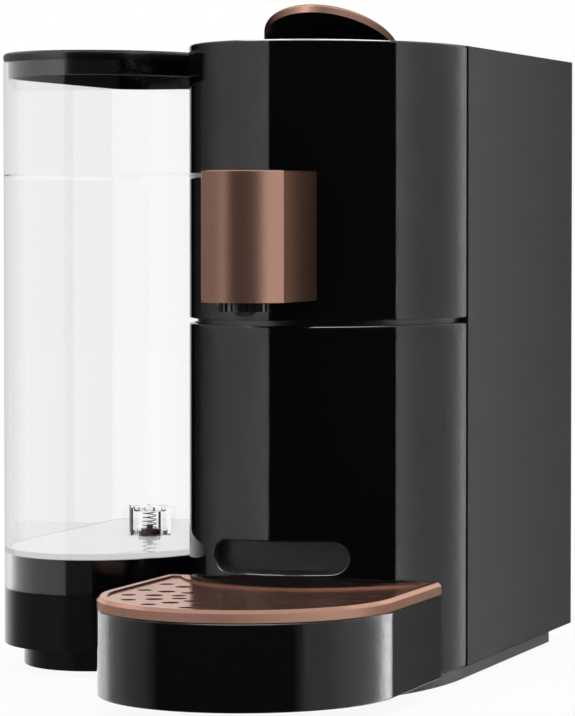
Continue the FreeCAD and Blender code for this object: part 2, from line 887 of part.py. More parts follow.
def drawer_carrier():
    """The frame behind the drawer's front: floor, two sides and the runners in the rails."""
    inner = bin_half_width + carrier_gap
    outer = inner + carrier_thickness
    z0 = carrier_floor_height
    floor = casing_prism(wall + seat, carrier_back, z0, z0 + carrier_thickness)
    floor = floor.common(box(-outer, outer, -nose_depth, carrier_back, z0, z0 + carrier_thickness))
    side = box(inner, outer, -carrier_front_reach, carrier_back, z0, carrier_side_top)
    back = box(-outer, outer, bin_back + carrier_gap, carrier_back, z0, z0 + 30)
    rail_inner = body_half_width - wall - seat - rail_groove_depth - wall
    groove_bottom = rail_bottom + (rail_height - rail_groove_height) / 2
    runner = box(inner, rail_inner + rail_groove_depth - slide_gap, rail_front + 2, carrier_back,
                 groove_bottom + slide_gap, groove_bottom + rail_groove_height - slide_gap)
    return fuse_all([floor, side, mirrored(side), back, runner, mirrored(runner)])


def tray_prism(inset, z0, z1):
    """The tray's plan: a bowed front, straight sides, short tips, and a back that follows the casing."""
    half = tray_half_width - inset
    depth = tray_reach - tray_straight_reach - inset
    whole = bowed_prism(0, -tray_straight_reach, half, depth, -tray_tip_reach - inset, 0, z0, z1)
    return whole.cut(casing_prism(-tray_gap - inset, 10, z0 - cut_over, z1 + cut_over))


def drip_tray():
    """The black basin in front of the drawer."""
    outer = tray_prism(0, drawer_bottom, tray_top)
    return outer.cut(tray_prism(tray_wall, drawer_bottom + tray_floor, tray_top + cut_over))


def grid_holes():
    """Centres and radii of the grid's holes: rings round the spot under the nozzle, drawn along the sides."""
    holes = []
    for ring_radius, count, hole_radius in grid_rings:
        for step in range(count):
            angle = 2 * math.pi * step / count + math.radians(grid_ring_phase)
            reach = ring_radius
            if math.sin(angle) > 0:
                least_cosine = ring_radius / grid_side_limit
                reach = ring_radius / max(abs(math.cos(angle)), least_cosine)
            holes.append((reach * math.cos(angle), -grid_centre_reach + reach * math.sin(angle), hole_radius))
    return holes


def drip_grid():
    """The copper grid: a chamfered rim round a sunken plate with round holes."""
    slab = tray_prism(0, grid_bottom, grid_top)
    front_rim = [e for e in top_edges(slab, grid_top)
                 if e.BoundBox.YMin < -tray_straight_reach + 1 and e.BoundBox.YMax < -tray_tip_reach + 1]
    slab = slab.makeChamfer(grid_chamfer, front_rim)
    slab = slab.cut(tray_prism(grid_rim_width, plate_top, grid_top + cut_over))
    slab = slab.cut(tray_prism(grid_rim_width, grid_bottom - cut_over, plate_bottom))
    lip_inset = tray_wall + slide_gap
    lip = tray_prism(lip_inset, grid_bottom - grid_lip_depth, grid_bottom)
    lip = lip.cut(tray_prism(lip_inset + grid_lip_wall, grid_bottom - grid_lip_depth - cut_over,
                             grid_bottom + cut_over))
    slab = fuse_all([slab, lip])
    holes = []
    for x, y, radius in grid_holes():
        keep_in = grid_rim_width + radius + grid_hole_round
        room = tray_prism(keep_in, plate_bottom - cut_over, plate_top + cut_over)
        if room.isInside(V(x, y, plate_top), 0.01, True):
            holes.append(post(radius, x, y, plate_bottom - cut_over, plate_top + cut_over))
    return slab.cut(holes)


# Brew chamber


def rack_shape(x0, x1):
    """A toothed bar: straight-sided teeth on top, from the cup's yoke to past the gear."""
    pitch = math.pi * gear_module
    half_tooth = (pitch / 2 - gear_backlash / 2) / 2
    slope = math.tan(math.radians(pressure_angle))
    start = pivot_y - pitch * 1.5
    end = pivot_y + cup_travel + rack_tail
    count = int((end - start) / pitch)
    points = [(yoke_front, bar_bottom), (yoke_front, rack_root)]
    foot = half_tooth + (rack_line - rack_root) * slope
    tip = half_tooth - gear_module * slope
    for index in range(count):
        centre = start + index * pitch
        points.append((centre - foot, rack_root))
        points.append((centre - tip, rack_line + gear_module))
        points.append((centre + tip, rack_line + gear_module))
        points.append((centre + foot, rack_root))
    points.append((end, rack_root))
    points.append((end, bar_bottom))
    points.append(points[0])
    wire = Part.makePolygon([V(x0, y, z) for y, z in points])
    return Part.Face(wire).extrude(V(x1 - x0, 0, 0))


def capsule_cup():
    """The sliding cup that clamps the capsule, its yoke, its spout and the two racks."""
    front = V(0, cup_front, chamber_height)
    outer = rod(cup_radius, front, V(0, cup_back, chamber_height))
    rack = rack_shape(gear_inner, gear_outer)
    yoke = box(-yoke_half_width, yoke_half_width, yoke_front, cup_front + cup_wall, yoke_bottom, rack_root)
    spout = box(-spout_half_width, spout_half_width, cup_front - spout_depth, cup_front + 1,
                chamber_height - cup_radius, yoke_bottom + cut_over)
    spout_y = cup_front - spout_depth / 2
    pipe_outer = post(spout_radius, 0, spout_y, spout_bottom, chamber_height - cup_radius + cut_over)
    body = fuse_all([outer, rack, mirrored(rack), yoke, spout, pipe_outer])
    body = body.cut(rod(cup_bore_radius, V(0, cup_front + cup_wall, chamber_height),
                        V(0, cup_back + 1, chamber_height)))
    drain_z = chamber_height - cup_bore_radius + 4
    body = body.cut(rod(spout_bore_radius, V(0, spout_y, drain_z), V(0, cup_front + cup_wall + 1, drain_z)))
    return body.cut(post(spout_bore_radius, 0, spout_y, spout_bottom - cut_over, drain_z))


def injector():
    """The fixed block behind the cup: crossbar, plate, piercing pins and water nipple."""
    centre = V(0, 0, chamber_height)
    face = cup_back + gasket_gap
    plate = rod(cup_radius, centre + BACK * (face + gasket_thickness), centre + BACK * injector_back)
    middle = rod(gasket_inner_radius - seat, centre + BACK * face, centre + BACK * injector_back)
    crossbar = box(-cheek_inner, cheek_inner, injector_back, injector_block_back,
                   injector_block_bottom, bar_bottom - ledge_height - 2 * seat)
    upper = box(-injector_block_half_width, injector_block_half_width, injector_back, injector_block_back,
                injector_block_bottom, injector_block_top)
    nipple = rod(nipple_radius, centre + BACK * (injector_block_back - 1),
                 centre + BACK * (injector_block_back + nipple_length))
    pieces = [plate, middle, crossbar, upper, nipple]
    for index in range(needle_count):
        angle = 2 * math.pi * index / needle_count
        place = centre + V(math.cos(angle), 0, math.sin(angle)) * needle_ring_radius
        tip = place + BACK * (face - needle_length)
        pieces.append(rod(needle_radius, tip, place + BACK * (face + cut_over)))
    whole = fuse_all(pieces)
    return whole.cut(rod(nipple_bore_radius, centre + BACK * (face - cut_over),
                         centre + BACK * (injector_block_back + nipple_length + cut_over)))


def chamber_gasket():
    """The rubber ring that seals the cup against the injector."""
    centre = V(0, 0, chamber_height)
    face = cup_back + gasket_gap
    return pipe(gasket_outer_radius, gasket_inner_radius, centre + BACK * face,
                centre + BACK * (face + gasket_thickness))


def brew_cheek():
    """The right-hand side plate of the brew unit, with the ledges that the racks run between."""
    x0 = cheek_inner
    x1 = cheek_inner + cheek_thickness
    plate = box(x0, x1, -cheek_front_reach, cheek_back, deck_top, cover_bottom - seat)
    lower = box(x0 - ledge_width, x0, -cheek_front_reach, cheek_back, bar_bottom - ledge_height - seat,
                bar_bottom - seat)
    upper = box(x0 - ledge_width, x0, -cheek_front_reach, upper_ledge_back, rack_root + seat,
                rack_root + seat + ledge_height)
    cheek = fuse_all([plate, lower, upper])
    bush_hole = rod(bush_radius + running_gap, V(x0 - cut_over, pivot_y, pivot_z),
                    V(x1 + cut_over, pivot_y, pivot_z))
    cheek = cheek.cut(bush_hole)
    window = box(x0 - cut_over, x1 + cut_over, cheek_window_front, cheek_window_back,
                 deck_top + cheek_window_margin, bar_bottom - ledge_height - cheek_window_margin)
    across = [e for e in window.Edges if abs(e.tangentAt(e.FirstParameter).x) > 0.9]
    return cheek.cut(window.makeFillet(cheek_window_round, across))


def under_cover(top):
    """The right-hand half of the casing's inside up to a height, for trimming."""
    return box(0, body_half_width, 0, side_depth, below, top)


def shaft_bush():
    """The right-hand flanged bush that the lever's shaft turns in."""
    x0 = cheek_inner
    x1 = cheek_inner + cheek_thickness
    sleeve = rod(bush_radius, V(x0, pivot_y, pivot_z), V(x1, pivot_y, pivot_z))
    flange = rod(bush_flange_radius, V(x0 - bush_flange, pivot_y, pivot_z), V(x0, pivot_y, pivot_z))
    flange = flange.common(under_cover(cover_bottom - seat))
    sleeve = sleeve.common(under_cover(cover_bottom - seat))
    bore = rod(shaft_radius + running_gap, V(x0 - cut_far, pivot_y, pivot_z),
               V(x1 + cut_far, pivot_y, pivot_z))
    return fuse_all([sleeve, flange]).cut(bore)


# Lever


def lever_strip(low, high):
    """The lever's bent sheet between two depths above its underside, wider than the lever."""
    under = lever_under
    front = lever_bend_y
    angle = math.radians(lever_bend_angle)
    half = angle / 2
    rear = pivot_y + lever_rear_overhang
    reach = lever_half_width + cut_far

    def bent(depth, turn):
        radius = lever_outer_bend - depth
        return V(-reach, front - radius * math.sin(turn), under + depth + radius * (1 - math.cos(turn)))

    def tip(depth):
        return bent(depth, angle) + V(0, -math.cos(angle), math.sin(angle)) * lever_slope_length

    edges = [Part.makeLine(V(-reach, rear, under + low), V(-reach, front, under + low)),
             Part.Arc(bent(low, 0), bent(low, half), bent(low, angle)).toShape(),
             Part.makeLine(bent(low, angle), tip(low)),
             Part.makeLine(tip(low), tip(high)),
             Part.makeLine(tip(high), bent(high, angle)),
             Part.Arc(bent(high, angle), bent(high, half), bent(high, 0)).toShape(),
             Part.makeLine(V(-reach, front, under + high), V(-reach, rear, under + high)),
             Part.makeLine(V(-reach, rear, under + high), V(-reach, rear, under + low))]
    face = Part.Face(Part.Wire(Part.__sortEdges__(edges)))
    return face.extrude(V(2 * reach, 0, 0))


def lever_plan(inset):
    """The lever seen from above: an elliptical tip and straight sides."""
    back = pivot_y + lever_rear_overhang + cut_far - inset
    return bowed_prism(0, lever_tip_start, lever_half_width - inset, lever_tip_length - inset, back, 0,
                       pivot_z, sky)


def lever_hub(radius, half_width):
    """The drum at the lever's root."""
    return rod(radius, V(-half_width, pivot_y, pivot_z), V(half_width, pivot_y, pivot_z))


def lever_inlay():
    """The thin inlay that fills the handle's underside."""
    return lever_strip(0, lever_inlay_depth).common(lever_plan(lever_inlay_margin))


def lever_arm():
    """The black inner part of the lever: the inlay under the handle and the drum on the shaft."""
    arm = fuse_all([lever_inlay(), lever_hub(hub_radius, hub_half_width)])
    bore = shaft_radius + running_gap
    return arm.cut(rod(bore, V(-body_half_width, pivot_y, pivot_z), V(body_half_width, pivot_y, pivot_z)))


def lever_handle():
    """The copper handle that wraps the arm, with its lip turned up at the front."""
    body = lever_strip(0, lever_thickness).common(lever_plan(0))
    rim = []
    for edge in body.Edges:
        middle = edge.valueAt((edge.FirstParameter + edge.LastParameter) / 2)
        over = middle.z - lever_under - lip_rise(middle.y)
        along_side = abs(abs(middle.x) - lever_half_width) < 0.01
        forward = min(middle.y - lever_tip_start, 0.0)
        round_tip = (middle.x / lever_half_width) ** 2 + (forward / lever_tip_length) ** 2 > 0.98
        if over > lever_thickness * 0.9 and (along_side or round_tip):
            rim.append(edge)
    body = body.makeFillet(lever_edge_round, rim)
    return body.cut([lever_inlay(), lever_hub(hub_radius + seat / 2, hub_half_width + seat / 2)])


def lip_rise(y):
    """How far the lever's underside stands above its flat part at a place along Y."""
    angle = math.radians(lever_bend_angle)
    ahead = lever_bend_y - y
    bend_length = lever_outer_bend * math.sin(angle)
    if ahead <= 0:
        return 0.0
    if ahead < bend_length:
        return lever_outer_bend - math.sqrt(lever_outer_bend ** 2 - ahead ** 2)
    return lever_outer_bend * (1 - math.cos(angle)) + (ahead - bend_length) * math.tan(angle)


def lever_shaft():
    """The steel shaft that the lever, the gear sectors and the bushes share."""
    half = cheek_inner + cheek_thickness + shaft_overhang
    return rod(shaft_radius, V(-half, pivot_y, pivot_z), V(half, pivot_y, pivot_z))


def tooth_outline(centre_angle):
    """Points of one gear tooth as angle and radius, from its near flank to its far flank."""
    base = gear_pitch_radius * math.cos(math.radians(pressure_angle))
    tip = gear_pitch_radius + gear_module
    width = math.pi * gear_module / 2 - gear_backlash / 2
    half_pitch_angle = width / (2 * gear_pitch_radius)
    alpha = math.radians(pressure_angle)
    involute_at_pitch = math.tan(alpha) - alpha
    flank = []
    steps = 5
    for step in range(steps + 1):
        radius = base + (tip - base) * step / steps
        roll = math.sqrt(max((radius / base) ** 2 - 1, 0.0))
        half = half_pitch_angle + involute_at_pitch - (roll - math.atan(roll))
        flank.append((half, radius))
    near = [(centre_angle - half, radius) for half, radius in flank]
    far = [(centre_angle + half, radius) for half, radius in reversed(flank)]
    return near + far


def gear_sector():
    """The right-hand gear sector: seven teeth on a hub, as thick as its rack."""
    root = gear_pitch_radius - 1.25 * gear_module
    step = 2 * math.pi / gear_teeth
    down = -math.pi / 2
    points = []
    start = down + (gear_first_tooth - gear_end_share) * step
    end = down + (gear_last_tooth + gear_end_share) * step
    points.append((start, root))
    for index in range(gear_first_tooth, gear_last_tooth + 1):
        outline = tooth_outline(down + index * step)
        points.append((outline[0][0], root))
        points.extend(outline)
        points.append((outline[-1][0], root))
    points.append((end, root))
    corners = [V(gear_inner, pivot_y + r * math.cos(a), pivot_z + r * math.sin(a)) for a, r in points]
    corners.append(V(gear_inner, pivot_y, pivot_z))
    corners.append(corners[0])
    wedge = Part.Face(Part.makePolygon(corners)).extrude(V(gear_thickness, 0, 0))
    hub = rod(gear_hub_radius, V(hub_half_width + seat, pivot_y, pivot_z), V(gear_outer, pivot_y, pivot_z))
    hub = hub.common(under_cover(cover_top))
    bore = rod(shaft_radius + running_gap, V(0, pivot_y, pivot_z), V(body_half_width, pivot_y, pivot_z))
    return fuse_all([wedge, hub]).cut(bore)


# Buttons and their board


def push_button(x, y):
    """A round cap with a shallow dish, a flange that stops it under the cover, and a stem."""
    top = cover_top - button_sink
    flange_top = cover_bottom - button_flange_gap
    cap = post(button_radius, x, y, flange_top - 0.5, top)
    flange = post(button_flange_radius, x, y, flange_top - button_flange, flange_top)
    stem = post(button_stem_radius, x, y, flange_top - button_flange - button_stem_length, flange_top - 0.5)
    body = fuse_all([cap, flange, stem])
    dish_radius = (button_radius ** 2 / button_dish + button_dish) / 2
    dish = Part.makeSphere(dish_radius, V(x, y, top + dish_radius - button_dish))
    rim = [e for e in top_edges(body, top)]
    body = body.makeFillet(0.3, rim)
    return body.cut(dish)


def switch_top():
    """Height of the tops of the tactile switches."""
    stem_end = cover_bottom - button_flange_gap - button_flange - button_stem_length
    return stem_end - button_travel - switch_gap


def button_switches():
    """The tactile switches under the buttons."""
    switches = []
    for x, y in button_places:
        top = switch_top()
        half = switch_size / 2
        case = box(x - half, x + half, y - half, y + half, top - 1 - switch_height, top - 1)
        plunger = post(switch_plunger_radius, x, y, top - 1.5, top)
        switches.append(fuse_all([case, plunger]))
    return switches


def button_board():
    """The circuit board that carries the switches, on posts under the top cover."""
    top = switch_top() - 1 - switch_height
    board = box(-board_half_width, board_half_width, -board_front_reach, -board_back_reach,
                top - board_thickness, top)
    return board.cut([post(board_hole_radius, x, y, below, sky) for x, y in board_post_places()])


def board_post_places():
    """Where the board's posts stand."""
    side = board_half_width - board_post_inset
    return [(x, y) for x in (-side, side)
            for y in (-board_back_reach - board_post_inset, -board_front_reach + board_post_inset)]


def board_posts():
    """The posts that hang the button board from the top cover."""
    top = switch_top() - 1 - switch_height
    return [post(board_post_radius, x, y, top, cover_bottom) for x, y in board_post_places()]


# Tank and dock


def water_tank():
    """The clear tank: walls that thin above the fill mark, a floor, a skirt and the valve boss."""
    outer = tank_prism(0, tank_skirt_bottom, tank_rim)
    outer = outer.cut(tank_prism(tank_wall, tank_floor_top, fill_mark_height))
    outer = outer.cut(tank_prism(tank_wall_above_mark, fill_mark_height, tank_rim + 1))
    outer = outer.cut(tank_prism(tank_wall, tank_skirt_bottom - cut_over, tank_floor_top - tank_floor))
    boss = post(valve_boss_radius, valve_x, valve_y, valve_boss_bottom, tank_floor_top - tank_floor)
    tank = fuse_all([outer, boss])
    tank = tank.cut(post(valve_bore_radius, valve_x, valve_y, valve_boss_bottom - cut_over,
                         tank_floor_top - tank_floor))
    return tank.cut(post(valve_seat_radius, valve_x, valve_y, valve_boss_bottom, tank_floor_top + cut_over))


def valve_cage():
    """The clear finned cage over the valve."""
    z0 = cage_bottom
    z1 = z0 + cage_height
    base = ring(cage_inner_radius + 2.4, cage_inner_radius, valve_x, valve_y, z0, z0 + cage_ring_height)
    cap = ring(cage_inner_radius + 1.2, cage_boss_radius, valve_x, valve_y, z1 - cage_ring_height, z1)
    pieces = [base, cap]
    for index in range(cage_fin_count):
        fin = box(cage_inner_radius, cage_radius, -cage_fin_width / 2, cage_fin_width / 2, z0, z1)
        fin.rotate(V(0, 0, 0), UP, 360.0 * (index + 0.5) / cage_fin_count)
        fin.translate(V(valve_x, valve_y, 0))
        pieces.append(fin)
    return fuse_all(pieces)


def valve_poppet():
    """The valve disc with its stem and guide fins, closed on the floor of the tank."""
    z0 = tank_floor_top + poppet_gap
    disc = post(poppet_radius, valve_x, valve_y, z0, z0 + poppet_height)
    stem = post(poppet_stem_radius, valve_x, valve_y, z0 - poppet_stem_length, z0 + poppet_height)
    crown = post(poppet_stem_radius, valve_x, valve_y, z0 + poppet_height, z0 + poppet_height + 2.4)
    across = box(-poppet_fin_reach, poppet_fin_reach, -poppet_fin_width / 2, poppet_fin_width / 2,
                 z0 - tank_floor, z0 + cut_over)
    across.translate(V(valve_x, valve_y, 0))
    along = box(-poppet_fin_width / 2, poppet_fin_width / 2, -poppet_fin_reach, poppet_fin_reach,
                z0 - tank_floor, z0 + cut_over)
    along.translate(V(valve_x, valve_y, 0))
    return fuse_all([disc, stem, crown, across, along])


def tangent_arc(start, heading, end):
    """The arc that leaves a point in a given direction and ends at another point."""
    chord = end - start
    along = V(chord).normalize()
    aside = heading - along * heading.dot(along)
    bulge = chord.Length / 2 * math.tan(heading.getAngle(along) / 2)
    middle = start + chord * 0.5 + aside.normalize() * bulge
    return Part.Arc(start, middle, end).toShape()


def biarc(start, start_heading, end, end_heading):
    """Two arcs that join two points and are tangent to a direction at each."""
    span = end - start
    both = start_heading + end_heading
    spread = 2 * (1 - start_heading.dot(end_heading))
    reach = (math.sqrt(span.dot(both) ** 2 + spread * span.dot(span)) - span.dot(both)) / spread
    joint = (start + end + (start_heading - end_heading) * reach) * 0.5
    return [tangent_arc(start, start_heading, joint), tangent_arc(end, end_heading * -1, joint)]


def valve_spring():
    """The small coil spring between the poppet and the cage's cap."""
    z0 = tank_floor_top + poppet_gap + poppet_height + spring_wire / 2 + spring_gap
    z1 = cage_bottom + cage_height - cage_ring_height - spring_wire / 2 - spring_gap
    pitch = (z1 - z0) / spring_turns

    def place(turn):
        angle = 2 * math.pi * turn
        return V(valve_x + spring_radius * math.cos(angle), valve_y + spring_radius * math.sin(angle),
                 z0 + pitch * turn)

    def heading(turn):
        angle = 2 * math.pi * turn
        return V(-math.sin(angle), math.cos(angle), pitch / (2 * math.pi * spring_radius)).normalize()

    edges = []
    for quarter in range(4 * spring_turns):
        edges.extend(biarc(place(quarter / 4), heading(quarter / 4),
                           place((quarter + 1) / 4), heading((quarter + 1) / 4)))
    profile = Part.Wire([Part.makeCircle(spring_wire / 2, place(0), heading(0))])
    print("valve spring: least gap between turns %.2f mm" % (pitch - spring_wire))
    return Part.Wire(edges).makePipeShell([profile], True, False)


def tank_lid():
    """The black lid: a rounded plate, a skirt inside the tank and a scoop for the fingers."""
    plate = tank_prism(0, lid_bottom + lid_step, lid_top)
    plate = plate.makeFillet(lid_round, top_edges(plate, lid_top))
    step = tank_prism(lid_step_inset, lid_bottom, lid_bottom + lid_step)
    skirt_inset = tank_wall_above_mark + slide_gap
    skirt_bottom = lid_bottom - lid_skirt_depth
    skirt = tank_prism(skirt_inset, skirt_bottom, lid_bottom)
    hollow = tank_prism(skirt_inset + lid_skirt_wall, skirt_bottom - cut_over, lid_bottom + cut_over)
    skirt = skirt.cut(hollow)
    lid = fuse_all([plate, step, skirt])
    scoop_radius = (lid_scoop_radius ** 2 / lid_scoop_depth + lid_scoop_depth) / 2
    scoop = Part.makeSphere(scoop_radius, V(tank_centre_x, valve_y,
                                            lid_top + scoop_radius - lid_scoop_depth))
    return lid.cut(scoop)


def hose_height():
    """Height at which the suction hose leaves the dock."""
    return (bridge_bottom + bridge_top) / 2


def tank_dock():
    """The dock's black shell: outer wall, deck, pedestal inside the tank's skirt and casing bridge."""
    outer = tank_prism(0, dock_bottom, dock_top)
    outer = outer.cut(tank_prism(dock_wall, dock_bottom - cut_over, dock_top - dock_wall))
    pedestal = tank_prism(pedestal_inset, dock_top - dock_wall, pedestal_top)
    pedestal = pedestal.cut(tank_prism(pedestal_inset + dock_wall, dock_top - dock_wall - 1,
                                       pedestal_top - dock_wall))
    well = post(boss_well_radius + dock_wall, valve_x, valve_y, boss_well_floor - dock_wall, pedestal_top)
    bridge = box(tank_right - dock_wall, -body_half_width,
                 bridge_front, bridge_back, bridge_bottom, bridge_top)
    shell = fuse_all([outer, pedestal, well, bridge])
    inside_deck = tank_prism(pedestal_inset + dock_wall, dock_bottom - cut_over, pedestal_top - dock_wall)
    inside_deck = inside_deck.cut(post(boss_well_radius + dock_wall, valve_x, valve_y,
                                       boss_well_floor - dock_wall, sky))
    shell = shell.cut(inside_deck)
    shell = shell.cut(post(boss_well_radius, valve_x, valve_y, boss_well_floor, pedestal_top + cut_over))
    passage = box(tank_right - 2 * dock_wall, -body_half_width + cut_over,
                  valve_y - 2 * hose_radius, valve_y + 2 * hose_radius,
                  hose_height() - 1.5 * hose_radius, hose_height() + 1.5 * hose_radius)
    shell = shell.cut(passage)
    return shell.cut(post(spigot_radius(), valve_x, valve_y, 0, boss_well_floor + 1))


def spigot_radius():
    """Outer radius of the dock's spigot, a sliding fit in the tank's boss."""
    return valve_bore_radius - spigot_gap


def dock_spigot():
    """The tube that the tank's valve boss drops over, with the pin below the poppet and a barb."""
    outer = spigot_radius()
    z0 = boss_well_floor - dock_wall
    tube = ring(outer, outer - spigot_wall, valve_x, valve_y, z0 - 6, spigot_top)
    stem_end = tank_floor_top + poppet_gap - poppet_stem_length
    pin = post(spigot_pin_radius, valve_x, valve_y, z0 - 4, stem_end - spigot_pin_gap)
    web = box(valve_x - outer + 0.5, valve_x + outer - 0.5, valve_y - 0.6, valve_y + 0.6, z0 - 4, z0)
    flange = ring(outer + 2, outer - 1, valve_x, valve_y, z0 - 2, z0)
    cap = post(outer, valve_x, valve_y, z0 - 8, z0 - 6)
    barb = post(hose_bore_radius - 0.05, valve_x, valve_y, z0 - 14, z0 - 8)
    body = fuse_all([tube, pin, web, flange, cap, barb])
    return body.cut(post(hose_bore_radius / 2, valve_x, valve_y, z0 - 15, z0 - 5))


def dock_seal():
    """The flat rubber ring round the spigot."""
    outer = spigot_radius()
    top = boss_well_floor + pedestal_top_gap - seat / 2
    return ring(outer + seal_width, outer + running_gap, valve_x, valve_y, boss_well_floor, top)


def dock_foot():
    """The tray that closes the dock's underside and stands on the table."""
    plate = tank_prism(dock_foot_inset, dock_floor_bottom, dock_bottom)
    plate = plate.cut(tank_prism(dock_foot_inset + dock_wall, dock_floor_bottom + 2 * foot_pocket,
                                 dock_bottom + cut_over))
    flange = tank_prism(dock_wall + seat, dock_bottom, dock_bottom + dock_wall)
    flange = flange.cut(tank_prism(dock_foot_inset + dock_wall, dock_bottom - cut_over,
                                   dock_bottom + dock_wall + cut_over))
    foot = fuse_all([plate, flange])
    return foot.cut([post(foot_radius + seat / 2, x, y, below, dock_pocket_top)
                     for x, y in dock_foot_places()])


def rubber_feet():
    """All the feet: four under the plinth and four under the dock."""
    under_plinth = [rubber_foot(x, y, foot_pocket_top) for x, y in plinth_foot_places()]
    return under_plinth + [rubber_foot(x, y, dock_pocket_top) for x, y in dock_foot_places()]


# Works


def hot_port_y():
    """Y of the heater block's hot water port."""
    return injector_block_back + nipple_length + port_setback


def thermoblock():
    """The cast heater block on four legs, with cooling grooves and two ports."""
    block = box(-block_half_width, block_half_width, block_front, block_back, block_bottom, block_top)
    spacing = (block_back - block_front) / (block_groove_count + 1)
    for index in range(block_groove_count):
        y = block_front + spacing * (index + 1) - block_groove / 2
        block = block.cut(box(-block_half_width - cut_over, block_half_width + cut_over, y, y + block_groove,
                              block_top - 2 * block_groove, block_top + cut_over))
    pieces = [block]
    for x in (-block_half_width, block_half_width - block_leg):
        for y in (block_front, block_back - block_leg):
            pieces.append(box(x, x + block_leg, y, y + block_leg, deck_top, block_bottom + cut_over))
    middle_z = (block_bottom + block_top) / 2
    pieces.append(rod(port_radius, V(pump_x, block_back - 1, middle_z),
                      V(pump_x, block_back + 2 * port_radius, middle_z)))
    pieces.append(post(port_radius, 0, hot_port_y(), block_top - 2 * block_groove, block_top + port_height))
    return fuse_all(pieces)


def thermal_fuses():
    """The thermostat and the thermal fuse clipped to the heater block's side."""
    z = (block_bottom + block_top) / 2
    x = block_half_width + fuse_radius
    fuses = []
    for y in (block_front + 8, block_front + 26):
        body = rod(fuse_radius, V(x, y, z - fuse_length / 2), V(x, y, z + fuse_length / 2))
        clip = box(block_half_width, x, y - 1.5, y + 1.5, z - 3, z + 3)
        fuses.append(fuse_all([body, clip]))
    return fuses


def vibration_pump():
    """The pump: plastic tail, square coil, barrel and outlet nose, lying along Y."""
    start = pump_front
    centre = V(pump_x, start, pump_height)
    tail_end = start + pump_tail_length
    coil_end = tail_end + pump_coil_length
    half = pump_coil_size / 2
    tail = rod(pump_barrel_radius, centre, V(pump_x, tail_end, pump_height))
    coil = box(pump_x - half, pump_x + half, tail_end, coil_end, pump_height - half, pump_height + half)
    nose = rod(pump_barrel_radius - 2, V(pump_x, coil_end, pump_height),
               V(pump_x, coil_end + pump_nose_length, pump_height))
    barb = rod(hose_bore_radius - 0.05, V(pump_x, start - 5, pump_height), centre)
    return fuse_all([tail, coil, nose, barb])


def pump_mounts():
    """The two rubber saddles that the pump lies in, standing on the plinth."""
    half = pump_mount_size / 2
    saddles = []
    places = ((pump_front + pump_tail_length - 8, pump_barrel_radius),
              (pump_front + pump_tail_length + pump_coil_length + 3, pump_barrel_radius - 2))
    for y, radius in places:
        saddle = box(pump_x - half, pump_x + half, y, y + pump_mount_thickness, base_top, pump_height + 6)
        hole = rod(radius + running_gap, V(pump_x, y - cut_over, pump_height),
                   V(pump_x, y + pump_mount_thickness + cut_over, pump_height))
        saddles.append(saddle.cut(hole))
    return saddles


def flow_meter():
    """The small round meter that counts the water, with its two barbs."""
    z1 = meter_bottom + meter_height
    body = post(meter_radius, meter_x, meter_y, meter_bottom, z1)
    inlet = rod(hose_bore_radius - 0.05, V(meter_x - meter_radius - 6, meter_y - 6, meter_bottom + 6),
                V(meter_x - 4, meter_y - 6, meter_bottom + 6))
    outlet = rod(hose_bore_radius - 0.05, V(meter_x, meter_y + 4, z1 - 6),
                 V(meter_x, meter_y + meter_radius + 6, z1 - 6))
    stand = box(meter_x - 5, meter_x + 5, meter_y - 5, meter_y + 5, base_top, meter_bottom + cut_over)
    return fuse_all([body, inlet, outlet, stand])


def bent_tube(points, radius, bore, bend):
    """A hose along straight runs joined by arcs of one radius."""
    outer = swept(points, radius, bend)
    return outer.cut(swept(points, bore, bend))


def swept(points, radius, bend):
    """A round bar along straight runs joined by arcs."""
    edges = []
    start = points[0]
    for before, corner, after in zip(points, points[1:], points[2:]):
        into = (corner - before).normalize()
        out = (after - corner).normalize()
        turn = into.getAngle(out)
        back_off = bend * math.tan(turn / 2)
        first = corner - into * back_off
        last = corner + out * back_off
        inward = (out - into).normalize()
        centre = corner + inward * (bend / math.cos(turn / 2))
        middle = centre - inward * bend
        edges.append(Part.makeLine(start, first))
        edges.append(Part.Arc(first, middle, last).toShape())
        start = last
    edges.append(Part.makeLine(start, points[-1]))
    path = Part.Wire(edges)
    along = (points[1] - points[0]).normalize()
    profile = Part.Wire([Part.makeCircle(radius, points[0], along)])
    return path.makePipeShell([profile], True, True)


def suction_hose():
    """The hose from the dock's spigot through the casing's side to the flow meter."""
    top = boss_well_floor - dock_wall - 8
    low = hose_height()
    start = V(valve_x, valve_y, top)
    end_x = meter_x - meter_radius
    end_z = meter_bottom + 6
    inside = -body_half_width + 16
    riser = end_x - suction_riser_gap
    points = [start, V(valve_x, valve_y, low), V(inside, valve_y, low), V(inside, meter_y - 6, low),
              V(riser, meter_y - 6, low), V(riser, meter_y - 6, end_z), V(end_x, meter_y - 6, end_z)]
    return bent_tube(points, hose_radius, hose_bore_radius, hose_bend)


def pump_hose():
    """The hose from the flow meter round to the pump's tail."""
    z1 = meter_bottom + meter_height - 6
    start = V(meter_x, meter_y + meter_radius, z1)
    back = meter_y + meter_radius + 14
    top = z1 + pump_hose_rise
    lead = pump_front - pump_hose_lead
    points = [start, V(meter_x, back, z1), V(meter_x, back, top), V(pump_x, back, top), V(pump_x, lead, top),
              V(pump_x, lead, pump_height), V(pump_x, pump_front, pump_height)]
    return bent_tube(points, hose_radius, hose_bore_radius, hose_bend)


